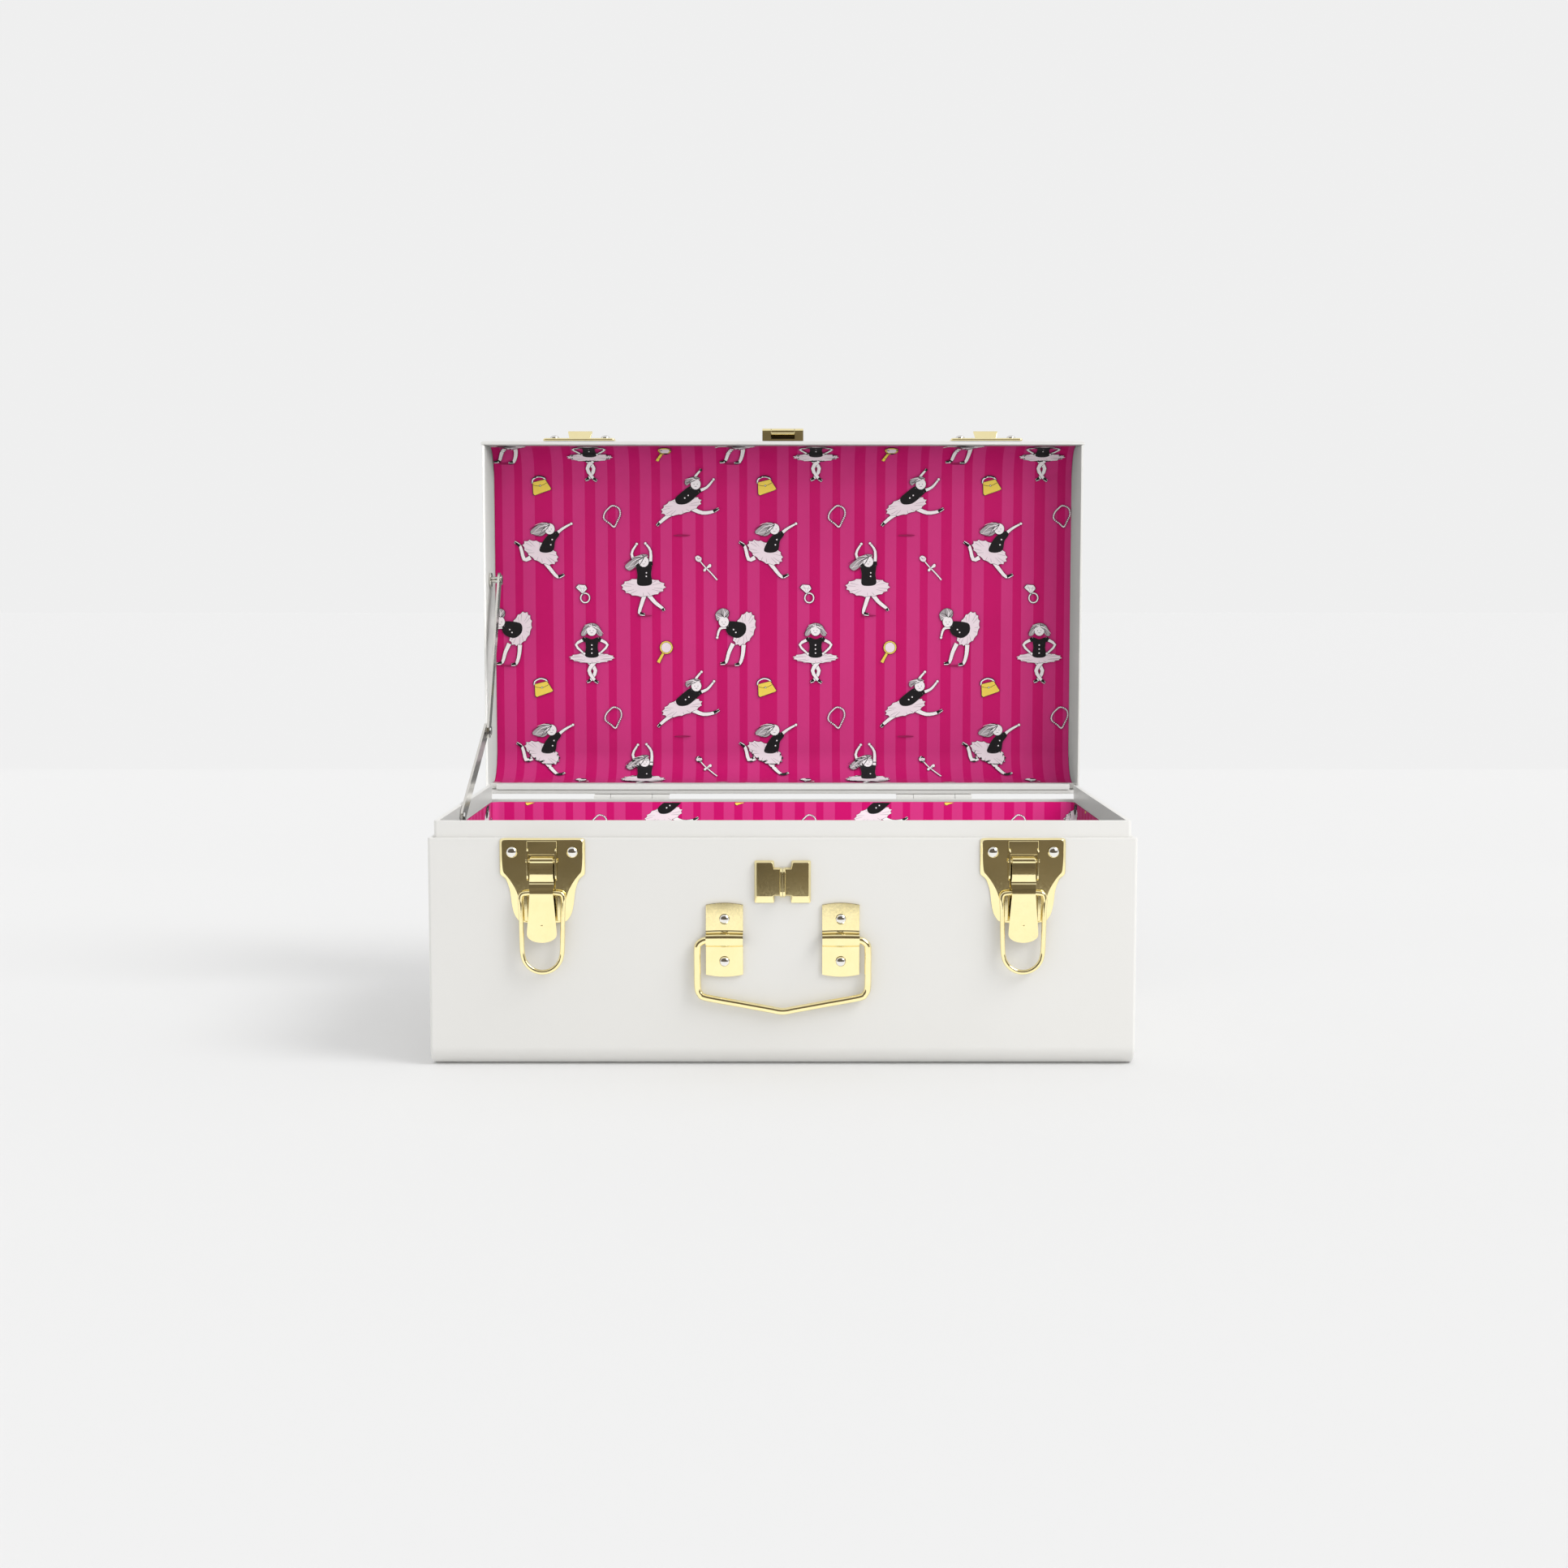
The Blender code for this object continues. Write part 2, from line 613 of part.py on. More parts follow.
def wire(name, points, thickness, cyclic, material, parent):
    """A bent wire through points of its own frame."""
    curve = bpy.data.curves.new(name, "CURVE")
    curve.dimensions = "3D"
    curve.bevel_depth = thickness / 2
    curve.bevel_resolution = WIRE_SIDES
    curve.use_fill_caps = not cyclic
    spline = curve.splines.new("POLY")
    spline.points.add(len(points) - 1)
    for target, point in zip(spline.points, points):
        target.co = (*point, 1)
    spline.use_cyclic_u = cyclic
    spline.use_smooth = True
    obj = bpy.data.objects.new(name, curve)
    bpy.context.scene.collection.objects.link(obj)
    obj.parent = parent
    curve.materials.append(material)
    return obj


def latch_bail(name, material, parent):
    """The wire loop, drawn about its own pivot: a cross bar, two legs and a round end."""
    top = BAIL_TOP_WIDTH / 2
    end = BAIL_END_WIDTH / 2
    low = -BAIL_LENGTH + end
    corner = Vector((top, 0, 0))
    right = fillet((0, 0, 0), corner, (end, 0, low), BAIL_CORNER)
    half = [Vector((top / 3, 0, 0)), *right]
    half += [Vector((x, 0, z)) for x, z in arc((0, low), end, 0, -90, 8)]
    loop = half + [Vector((-p.x, p.y, p.z)) for p in reversed(half[:-1])]
    return wire(name, loop, BAIL_WIRE, True, material, parent)


def build_latches(materials):
    brass = materials["brass"]
    for side, word in ((-1, "left"), (1, "right")):
        place = FRONT_WALL + Vector((side * LATCH_SPACING / 2, 0, 0))
        latch_plate(f"latch_{word}_plate", brass, place)
        lever_place = place + Vector((0, -LEVER_PIVOT_OUT, -LEVER_PIVOT_DOWN))
        lever_pivot = add_pivot(f"latch_{word}_lever_pivot", lever_place)
        latch_lever(f"latch_{word}_lever", brass, lever_pivot)
        pin = bar_x(STRAP_WIDTH + LEVER_PIN_RADIUS, LEVER_PIN_RADIUS)
        add_node(f"latch_{word}_pin", pin, brass, None, lever_place)
        bail_place = (0, LEVER_PIVOT_OUT - BAIL_PIVOT_OUT, LEVER_PIVOT_DOWN - BAIL_PIVOT_DOWN)
        bail_pivot = add_pivot(f"latch_{word}_bail_pivot", bail_place, lever_pivot)
        latch_bail(f"latch_{word}_bail", brass, bail_pivot)
        for rivet_side, rivet_word in ((side, "outer"), (-side, "inner")):
            offset = Vector((rivet_side * LATCH_RIVET_SPACING / 2, 0, -LATCH_RIVET_DOWN))
            head = rivet_head(LATCH_RIVET_RADIUS, PLATE_THICKNESS + 2 * GAP)
            rivet = f"latch_{word}_rivet_{rivet_word}"
            add_node(rivet, head, materials["nickel"], None, place + offset)


# Strikes on the lid


def strike(name, material, parent, place):
    """A plate with a hook that flares outwards and turns up at its lip to hold the bail."""
    face = GAP + STRIKE_THICKNESS
    low, high = STRIKE_UP, STRIKE_UP + STRIKE_HEIGHT
    outline = rectangle(STRIKE_WIDTH, low, high, STRIKE_CORNER)
    centre = (low + high) / 2
    inner = 1 - 2 * STRIKE_BEVEL / STRIKE_WIDTH, 1 - 2 * STRIKE_BEVEL / STRIKE_HEIGHT
    rings = [
        [(x, -GAP, z) for x, z in outline],
        [(x, -face + STRIKE_BEVEL / 2, z) for x, z in outline],
        [(x * inner[0], -face, centre + (z - centre) * inner[1]) for x, z in outline],
    ]
    plate = add_node(name, loft(rings), material, parent, place)
    sunk = face - STRIKE_THICKNESS / 2
    tip = face + HOOK_PROUD
    levels = (
        (sunk, HOOK_BASE_WIDTH, 0),
        (tip - HOOK_LIP, HOOK_LIP_WIDTH, 0),
        (tip, HOOK_TOP_WIDTH, HOOK_LIP),
    )
    hook = []
    for out, width, lip in levels:
        section = rectangle(width, HOOK_UP, HOOK_UP + HOOK_THICKNESS + lip)
        hook.append([(x, -out, z) for x, z in section])
    join(plate, loft(hook))
    return plate


def build_strikes(materials, lid_front):
    for side, word in ((-1, "left"), (1, "right")):
        place = Vector((side * LATCH_SPACING / 2, 0, 0))
        strike(f"strike_{word}", materials["brass"], lid_front, place)
        for rivet_side, rivet_word in ((side, "outer"), (-side, "inner")):
            offset = Vector((rivet_side * LATCH_RIVET_SPACING / 2, 0, STRIKE_UP + STRIKE_HEIGHT / 2))
            head = rivet_head(LATCH_RIVET_RADIUS, STRIKE_THICKNESS + 2 * GAP)
            rivet = f"strike_{word}_rivet_{rivet_word}"
            add_node(rivet, head, materials["nickel"], lid_front, place + offset)


# Padlock hasp


def bevelled_pad(outline, centre, proud, bevel):
    """A pad on the wall whose face is drawn in from its outline by the bevel."""
    spans = [max(abs(p[axis] - centre[axis]) for p in outline) for axis in (0, 1)]
    shares = [1 - bevel / span for span in spans]
    face = [tuple(centre[i] + (p[i] - centre[i]) * shares[i] for i in (0, 1)) for p in outline]
    return loft(
        [
            [(x, -GAP, z) for x, z in outline],
            [(x, -(GAP + proud - bevel), z) for x, z in outline],
            [(x, -(GAP + proud), z) for x, z in face],
        ]
    )


def hasp_staple(material):
    """Two raised pads either side of a waist, and the pinched rib that takes the padlock."""
    top, bottom = -STAPLE_DOWN, -STAPLE_DOWN - STAPLE_HEIGHT
    middle = (top + bottom) / 2
    waist = rectangle(STAPLE_WIDTH - STAPLE_PAD, bottom + STAPLE_NOTCH, top - STAPLE_NOTCH)
    web = out_from_wall(waist, GAP, GAP + STAPLE_PROUD / 2)
    staple = add_node("hasp_staple", web, material, None, FRONT_WALL)
    for side in (-1, 1):
        centre = side * (STAPLE_WIDTH - STAPLE_PAD) / 2
        pad = [(centre + x, z) for x, z in rectangle(STAPLE_PAD, bottom, top, STAPLE_CORNER)]
        join(staple, bevelled_pad(pad, (centre, middle), STAPLE_PROUD, STAPLE_BEVEL))
    rib = []
    levels = (
        (GAP + STAPLE_PROUD / 4, 0),
        (RIB_PROUD - RIB_WIDTH / 2, 0),
        (RIB_PROUD, RIB_WIDTH / 2),
    )
    for out, shrink in levels:
        half = RIB_HEIGHT / 2 - shrink
        section = rectangle(RIB_WIDTH - shrink, middle - half, middle + half)
        rib.append([(x, -out, z) for x, z in section])
    join(staple, loft(rib))
    cut(staple, bar_x(RIB_WIDTH * 2, RIB_WIDTH / 2, RIB_EYE_IN - RIB_PROUD, middle))
    return staple


def hasp_leaf(material, parent):
    """The leaf fixed to the lid, with a knuckle at each side of the flap's."""
    height = HASP_PIVOT_UP + HASP_LEAF_HEIGHT
    leaf = add_node(
        "hasp_leaf",
        out_from_wall(rectangle(HASP_WIDTH, HASP_PIVOT_UP - HASP_BARREL, height), GAP, GAP + LEAF),
        material,
        parent,
    )
    side_length = (HASP_WIDTH - HASP_KNUCKLE) / 2 - GAP
    for side in (-1, 1):
        centre = side * (HASP_WIDTH - side_length) / 2
        low, high = HASP_PIVOT_UP - HASP_BARREL, HASP_PIVOT_UP + HASP_BARREL
        post = [(centre - side_length / 2, low), (centre + side_length / 2, low)]
        post += [(x, high) for x, _ in reversed(post)]
        join(leaf, out_from_wall(post, GAP + LEAF / 2, HASP_PIVOT_OUT))
        join(leaf, bar_x(side_length, HASP_BARREL, -HASP_PIVOT_OUT, HASP_PIVOT_UP, centre))
    cut(leaf, bar_x(HASP_WIDTH * 2, HASP_PIN_RADIUS + CLEARANCE, -HASP_PIVOT_OUT, HASP_PIVOT_UP))
    return leaf


def hasp_flap(material, pivot):
    """The slotted flap, folded back over the lid and drawn about its own pin."""
    near = HASP_BARREL - FLAP_SHEET
    low = HASP_BARREL + GAP
    plate = rectangle(HASP_WIDTH, low, FLAP_LENGTH, FLAP_CORNER)
    plate = [(x, low if z < low + FLAP_CORNER else z) for x, z in plate]
    flap = add_node("hasp_flap", out_from_wall(plate, near, HASP_BARREL), material, pivot)
    join(flap, out_from_wall(rectangle(HASP_KNUCKLE, 0, 2 * low), near, HASP_BARREL))
    join(flap, bar_x(HASP_KNUCKLE, HASP_BARREL))
    middle = STAPLE_DOWN + STAPLE_HEIGHT / 2 + HASP_PIVOT_UP + GAP
    half = RIB_HEIGHT / 2 + SLOT_CLEARANCE
    slot = rectangle(RIB_WIDTH + 2 * SLOT_CLEARANCE, middle - half, middle + half)
    cut(flap, out_from_wall(slot, 0, 2 * HASP_BARREL))
    cut(flap, bar_x(HASP_WIDTH, HASP_PIN_RADIUS + CLEARANCE))
    return flap


def build_hasp(materials, lid_front):
    brass = materials["brass"]
    hasp_staple(brass)
    hasp_leaf(brass, lid_front)
    place = (0, -HASP_PIVOT_OUT, HASP_PIVOT_UP)
    pivot = add_pivot("hasp_flap_pivot", place, lid_front)
    hasp_flap(brass, pivot)
    add_node("hasp_pin", bar_x(HASP_WIDTH, HASP_PIN_RADIUS), brass, lid_front, place)


# Carrying handle


def handle_bracket(name, material, place):
    """A strap bent over the handle's wire, with arched ends."""
    half = BRACKET_WIDTH / 2
    top, bottom = -BRACKET_TOP, -BRACKET_BOTTOM
    outline = []
    for edge, sign in ((top, 1), (bottom, -1)):
        for step in range(CORNER_STEPS + 1):
            share = 2 * step / CORNER_STEPS - 1
            outline.append((sign * share * half, edge - sign * BRACKET_ARCH * share * share))
    bracket = add_node(name, out_from_wall(outline, GAP, GAP + BRACKET_SHEET), material, None, place)
    centre = GAP + HANDLE_BARREL
    join(bracket, bar_x(BRACKET_WIDTH, HANDLE_BARREL, -centre, -HANDLE_DOWN))
    cut(bracket, bar_x(BRACKET_WIDTH * 2, HANDLE_WIRE / 2 + CLEARANCE, -centre, -HANDLE_DOWN))
    return bracket


def handle(material, pivot):
    """The wire handle: into the brackets from outside, down both sides and across in a shallow V."""
    half = HANDLE_WIDTH / 2
    inner = BRACKET_SPACING / 2 - HANDLE_GRIP
    start = Vector((inner, 0, 0))
    shoulder = Vector((half, 0, 0))
    hip = Vector((half, 0, -HANDLE_SIDE))
    middle = Vector((0, 0, -HANDLE_DROP))
    right = [start, *fillet(start, shoulder, hip, HANDLE_CORNER)]
    right += fillet(shoulder, hip, middle, HANDLE_CORNER)
    left = [Vector((-p.x, p.y, p.z)) for p in right]
    bottom = fillet(hip, middle, Vector((-hip.x, 0, hip.z)), 2 * HANDLE_CORNER)
    route = right + bottom + list(reversed(left))
    return wire("handle", route, HANDLE_WIRE, False, material, pivot)


def build_handle(materials):
    for side, word in ((-1, "left"), (1, "right")):
        place = FRONT_WALL + Vector((side * BRACKET_SPACING / 2, 0, 0))
        handle_bracket(f"handle_bracket_{word}", materials["brass"], place)
        for level, rise in (("upper", HANDLE_RIVET_ABOVE), ("lower", -HANDLE_RIVET_BELOW)):
            head = rivet_head(HANDLE_RIVET_RADIUS, BRACKET_SHEET + 2 * GAP)
            seat = place + Vector((0, 0, rise - HANDLE_DOWN))
            add_node(f"handle_rivet_{word}_{level}", head, materials["nickel"], None, seat)
    place = FRONT_WALL + Vector((0, -GAP - HANDLE_BARREL, -HANDLE_DOWN))
    handle(materials["brass"], add_pivot("handle_pivot", place))


# Lid stay


def stay_knee():
    """Where the two equal links meet, on the hinge's side of the line between their pivots, as (y, z)."""
    base = Vector((HINGE_AXIS.y - STAY_BASE_REACH, HINGE_AXIS.z + STAY_BASE_RISE))
    shut = Vector((-STAY_LID_REACH, STAY_LID_RISE))
    lid = HINGE_AXIS.yz + Matrix.Rotation(-LID_OPEN, 2) @ shut
    span = lid - base
    sagitta = math.sqrt(STAY_LINK_LENGTH**2 - span.length_squared / 4)
    normal = Vector((span.y, -span.x)).normalized()
    return base, lid, (base + lid) / 2 + normal * sagitta


def stay_link(name, material, pivot):
    """A flat link along +Y with a hole at each end, from its pivot to the knee."""
    half = STAY_LINK_WIDTH / 2
    outline = arc((0, 0), half, 90, 270, 2 * CORNER_STEPS)
    outline += arc((STAY_LINK_LENGTH, 0), half, -90, 90, 2 * CORNER_STEPS)
    link = add_node(name, along_x(outline, 0, STAY_SHEET), material, pivot)
    for y in (0, STAY_LINK_LENGTH):
        cut(link, bar_x(8 * STAY_SHEET, STAY_PIN_RADIUS + CLEARANCE, y))
    return link


def stay_lid_bracket(material, lid):
    """The plate on the lid's left wall, with a boss, the upper link's pin and its cap."""
    wall = -WIDTH / 2 + LID_RIM + GAP
    outline = rectangle(STAY_PLATE_HEIGHT, -STAY_LINK_WIDTH / 2, STAY_LINK_WIDTH / 2)
    place = (wall, -STAY_LID_REACH, STAY_LID_RISE)
    bracket = add_node("stay_lid_bracket", along_x(outline, 0, STAY_SHEET), material, lid, place)
    boss_end = STAY_UPPER_X - STAY_RUNNING_GAP - wall
    cap_start = STAY_UPPER_X + STAY_SHEET + STAY_RUNNING_GAP - wall
    profile = [
        (STAY_SHEET / 2, STAY_BOSS_RADIUS),
        (boss_end, STAY_BOSS_RADIUS),
        (boss_end, STAY_PIN_RADIUS),
        (cap_start, STAY_PIN_RADIUS),
        (cap_start, STAY_CAP_RADIUS),
        (cap_start + STAY_HEAD, STAY_CAP_RADIUS - STAY_HEAD_TAPER),
    ]
    join(bracket, turned_x(profile))
    return bracket


def stay_rivet(name, start, length, material, parent, place):
    """A headed pin along +X: its shank starts at start, and its head sits past length."""
    profile = [
        (start, STAY_PIN_RADIUS),
        (length, STAY_PIN_RADIUS),
        (length, STAY_HEAD_RADIUS),
        (length + STAY_HEAD, STAY_HEAD_RADIUS - STAY_HEAD_TAPER),
    ]
    return add_node(name, turned_x(profile), material, parent, place)


def build_stay(materials, lid):
    steel = materials["stay_steel"]
    base, on_lid, knee = stay_knee()
    lower_turn = math.atan2(knee.y - base.y, knee.x - base.x)
    lower = add_pivot("stay_lower_pivot", (STAY_LOWER_X, *base), None, lower_turn)
    stay_link("stay_lower_link", steel, lower)
    head_seat = STAY_SHEET + STAY_RUNNING_GAP / 2
    shank = CLEARANCE - STAY_RUNNING_GAP
    stay_rivet("stay_base_rivet", shank, head_seat, materials["nickel"], None, lower.location)
    upper_turn = math.atan2(knee.y - on_lid.y, knee.x - on_lid.x) + LID_OPEN
    upper = add_pivot("stay_upper_pivot", (STAY_UPPER_X, -STAY_LID_REACH, STAY_LID_RISE), lid, upper_turn)
    stay_link("stay_upper_link", steel, upper)
    knee_place = (0, STAY_LINK_LENGTH, 0)
    knee_seat = STAY_SHEET + CLEARANCE
    stay_rivet("stay_knee_rivet", 0, knee_seat, materials["nickel"], upper, knee_place)
    stay_lid_bracket(steel, lid)


def main():
    clear_scene()
    materials = make_materials()
    lid = add_pivot("lid_pivot", HINGE_AXIS, None, -LID_OPEN)
    lid_front = add_pivot("lid_front_wall", (0, -HINGE_AXIS.y - DEPTH / 2, GAP), lid)
    build_case(materials, lid)
    build_hinges(materials, lid)
    build_latches(materials)
    build_strikes(materials, lid_front)
    build_hasp(materials, lid_front)
    build_handle(materials)
    build_stay(materials, lid)


main()
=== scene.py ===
"""Finishes a white sheet-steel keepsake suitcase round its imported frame.

The case stands open, with polished brass latches, hasp and carrying handle, nickel rivets, a folding lid
stay and a printed card lining. Everything is in metres, in the frame's own coordinates.
"""

from __future__ import annotations

import json
import logging
import math
from collections.abc import Callable, Iterator, Sequence
from contextlib import contextmanager
from dataclasses import dataclass, field
from enum import Enum

import bmesh
import bpy
from mathutils import Matrix, Vector

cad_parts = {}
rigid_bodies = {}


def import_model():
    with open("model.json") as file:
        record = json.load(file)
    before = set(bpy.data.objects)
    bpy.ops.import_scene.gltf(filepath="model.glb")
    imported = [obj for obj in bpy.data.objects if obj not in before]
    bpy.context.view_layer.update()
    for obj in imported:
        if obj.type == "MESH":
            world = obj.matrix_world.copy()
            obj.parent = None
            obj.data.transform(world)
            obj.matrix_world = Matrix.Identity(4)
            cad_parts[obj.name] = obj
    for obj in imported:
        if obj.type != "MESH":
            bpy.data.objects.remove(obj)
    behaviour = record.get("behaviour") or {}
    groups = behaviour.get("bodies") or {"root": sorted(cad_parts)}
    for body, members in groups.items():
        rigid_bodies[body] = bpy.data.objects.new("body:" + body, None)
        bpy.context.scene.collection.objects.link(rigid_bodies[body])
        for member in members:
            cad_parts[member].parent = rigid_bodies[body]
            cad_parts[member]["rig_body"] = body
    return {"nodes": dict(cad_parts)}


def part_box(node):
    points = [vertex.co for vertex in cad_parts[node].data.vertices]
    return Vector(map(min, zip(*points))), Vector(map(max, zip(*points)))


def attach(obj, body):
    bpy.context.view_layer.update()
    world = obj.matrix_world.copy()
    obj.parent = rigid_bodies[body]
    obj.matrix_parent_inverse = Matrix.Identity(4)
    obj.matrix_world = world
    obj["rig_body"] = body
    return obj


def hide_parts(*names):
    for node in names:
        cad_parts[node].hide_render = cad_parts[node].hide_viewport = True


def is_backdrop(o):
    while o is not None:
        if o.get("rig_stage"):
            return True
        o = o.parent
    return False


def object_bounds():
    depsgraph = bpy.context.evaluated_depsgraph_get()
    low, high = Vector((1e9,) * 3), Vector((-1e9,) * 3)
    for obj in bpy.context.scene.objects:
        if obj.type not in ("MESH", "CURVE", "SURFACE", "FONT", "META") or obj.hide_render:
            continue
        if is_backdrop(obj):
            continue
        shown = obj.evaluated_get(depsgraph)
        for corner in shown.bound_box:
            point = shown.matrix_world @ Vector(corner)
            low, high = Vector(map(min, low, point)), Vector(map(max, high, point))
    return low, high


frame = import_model()

LOG = logging.getLogger("suitcase")
MM = 0.001
ROD_SIDES = 32
LID_REPEAT = 156.2
BASE_REPEAT = 142.0
Point = tuple[float, float]
Triple = tuple[float, float, float]
Test = Callable[[Vector, Vector], bool]


class Slot(Enum):
    """Material slots of the record."""

    PAINT = "white_paint"
    BRASS = "brass"
    NICKEL = "nickel"
    STEEL = "stay_steel"
    CARD = "printed_card"


class Body(Enum):
    """Bodies of the frame that new pieces ride on."""

    BASE = "base"
    LID = "lid"
    HANDLE = "handle"


# Working with objects


def deselect() -> None:
    """Clears the selection, which loading the frame leaves full."""
    for obj in list(bpy.context.selected_objects):
        obj.select_set(False)


def activate(obj: bpy.types.Object) -> None:
    """Selects one object alone and makes it active.

    Args:
        obj: The object.
    """
    deselect()
    obj.select_set(True)
    bpy.context.view_layer.objects.active = obj


def named(name: str) -> bpy.types.Object:
    """Gives the active object and its data a name, and returns the object.

    Args:
        name: The name.

    Returns:
        The object.
    """
    obj = bpy.context.object
    obj.name = name
    obj.data.name = name
    return obj


def settle(obj: bpy.types.Object) -> bpy.types.Object:
    """Puts an object's place into its mesh, so that the object sits at the origin.

    Args:
        obj: The object.

    Returns:
        The object.
    """
    activate(obj)
    bpy.ops.object.transform_apply(location=True, rotation=True, scale=True)
    return obj


def block(name: str, low: Sequence[float], high: Sequence[float]) -> bpy.types.Object:
    """A box between two corners.

    Args:
        name: The piece's name.
        low: Lowest corner.
        high: Highest corner.

    Returns:
        The box, settled.
    """
    deselect()
    centre = [(a + b) / 2 for a, b in zip(low, high)]
    bpy.ops.mesh.primitive_cube_add(size=1, location=centre)
    obj = named(name)
    obj.scale = [b - a for a, b in zip(low, high)]
    return settle(obj)


def rod_x(name: str, radius: float, length: float, centre: Sequence[float]) -> bpy.types.Object:
    """A round bar along X.

    Args:
        name: The piece's name.
        radius: The bar's radius.
        length: Its length.
        centre: Its middle.

    Returns:
        The bar, settled.
    """
    deselect()
    bpy.ops.mesh.primitive_cylinder_add(
        vertices=ROD_SIDES, radius=radius, depth=length, location=centre, rotation=(0, math.pi / 2, 0)
    )
    return settle(named(name))


@contextmanager
def editing(obj: bpy.types.Object, mode: str = "FACE") -> Iterator[None]:
    """Edit mode on one object, with nothing selected at the start.

    Args:
        obj: The piece.
        mode: What is selected: VERT, EDGE or FACE.
    """
    activate(obj)
    bpy.ops.object.mode_set(mode="EDIT")
    bpy.ops.mesh.select_mode(type=mode)
    bpy.ops.mesh.select_all(action="DESELECT")
    try:
        yield
    finally:
        bpy.ops.object.mode_set(mode="OBJECT")


def pick_faces(obj: bpy.types.Object, test: Test) -> None:
    """Selects the faces whose middle and normal pass the test, in face mode.

    Args:
        obj: The piece, in edit mode.
        test: Takes a face's middle and normal.
    """
    bm = bmesh.from_edit_mesh(obj.data)
    for face in bm.faces:
        face.select_set(test(face.calc_center_median(), face.normal))
    bmesh.update_edit_mesh(obj.data)


def pick_edges(obj: bpy.types.Object, test: Test) -> None:
    """Selects the edges whose middle and direction pass the test, in edge mode.

    Args:
        obj: The piece, in edit mode.
        test: Takes an edge's middle and direction.
    """
    bm = bmesh.from_edit_mesh(obj.data)
    for edge in bm.edges:
        along = edge.verts[1].co - edge.verts[0].co
        edge.select_set(test((edge.verts[0].co + edge.verts[1].co) / 2, along.normalized()))
    bmesh.update_edit_mesh(obj.data)


def modify(obj: bpy.types.Object, kind: str, **settings: object) -> bpy.types.Object:
    """Adds a modifier, sets it and applies it.

    Args:
        obj: The piece.
        kind: The modifier's type.
        **settings: Values of the modifier's own settings.

    Returns:
        The piece.
    """
    activate(obj)
    modifier = obj.modifiers.new(kind.title(), kind)
    for key, value in settings.items():
        setattr(modifier, key, value)
    bpy.ops.object.modifier_apply(modifier=modifier.name)
    return obj


def soften(obj: bpy.types.Object, width: float, segments: int = 2, angle: float = 30) -> bpy.types.Object:
    """Rounds every edge sharper than an angle, and shades the piece smooth.

    Args:
        obj: The piece.
        width: The round's width.
        segments: Steps across the round.
        angle: Edges that turn less than this, in degrees, stay as they are.

    Returns:
        The piece.
    """
    modify(
        obj,
        "BEVEL",
        width=width,
        segments=segments,
        limit_method="ANGLE",
        angle_limit=math.radians(angle),
        use_clamp_overlap=True,
        miter_outer="MITER_ARC",
        harden_normals=False,
    )
    return smooth(obj)


def smooth(obj: bpy.types.Object, angle: float = 34) -> bpy.types.Object:
    """Shades a piece smooth but for edges sharper than an angle in degrees.

    Args:
        obj: The piece.
        angle: Sharper edges than this, in degrees, stay sharp.

    Returns:
        The piece.
    """
    activate(obj)
    bpy.ops.object.shade_smooth_by_angle(angle=math.radians(angle))
    return obj


def carve(obj: bpy.types.Object, tool: bpy.types.Object) -> bpy.types.Object:
    """Cuts a tool from a piece, and clears the tool away.

    Args:
        obj: The piece.
        tool: The tool, which is cleared away.

    Returns:
        The piece.
    """
    modify(obj, "BOOLEAN", object=tool, operation="DIFFERENCE", solver="EXACT")
    bpy.data.objects.remove(tool, do_unlink=True)
    return obj


def merged(name: str, pieces: Sequence[bpy.types.Object]) -> bpy.types.Object:
    """Joins separate pieces into one object without fusing them.

    Args:
        name: The whole's name.
        pieces: The pieces.

    Returns:
        The whole.
    """
    deselect()
    for piece in pieces:
        piece.select_set(True)
    bpy.context.view_layer.objects.active = pieces[0]
    bpy.ops.object.join()
    return named(name)


def twin(obj: bpy.types.Object, name: str, shift: Sequence[float]) -> bpy.types.Object:
    """A copy of a piece with its own mesh, moved by a shift.

    Args:
        obj: The piece.
        name: The copy's name.
        shift: How far it moves.

    Returns:
        The copy.
    """
    copy = bpy.data.objects.new(name, obj.data.copy())
    copy.data.name = name
    bpy.context.scene.collection.objects.link(copy)
    copy.location = shift
    return settle(copy)


def mirrored(obj: bpy.types.Object, name: str) -> bpy.types.Object:
    """A copy of a piece with its own mesh, mirrored in X, its faces still outwards.

    Args:
        obj: The piece.
        name: The copy's name.

    Returns:
        The copy.
    """
    copy = twin(obj, name, (0, 0, 0))
    copy.data.transform(Matrix.Scale(-1, 4, Vector((1, 0, 0))))
    copy.data.flip_normals()
    return copy


def hand_in(
    obj: bpy.types.Object, body: str, slot: Slot, replaces: Sequence[str], *materials: bpy.types.Material
) -> bpy.types.Object:
    """Dresses a finished piece and fixes it to its body.

    Args:
        obj: The piece.
        body: The frame's body that it rides on.
        slot: The record's slot of its finish.
        replaces: Frame nodes that it stands for.
        *materials: Its materials in slot order, or none where it has them already.

    Returns:
        The piece.
    """
    if slot is not Slot.CARD:
        modify(obj, "WEIGHTED_NORMAL", keep_sharp=True)
    if materials:
        obj.data.materials.clear()
        for material in materials:
            obj.data.materials.append(material)
    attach(obj, body)
    if replaces:
        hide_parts(*replaces)
    LOG.info("%s rides on %s with %d faces", obj.name, body, len(obj.data.polygons))
    return obj


# Finishes


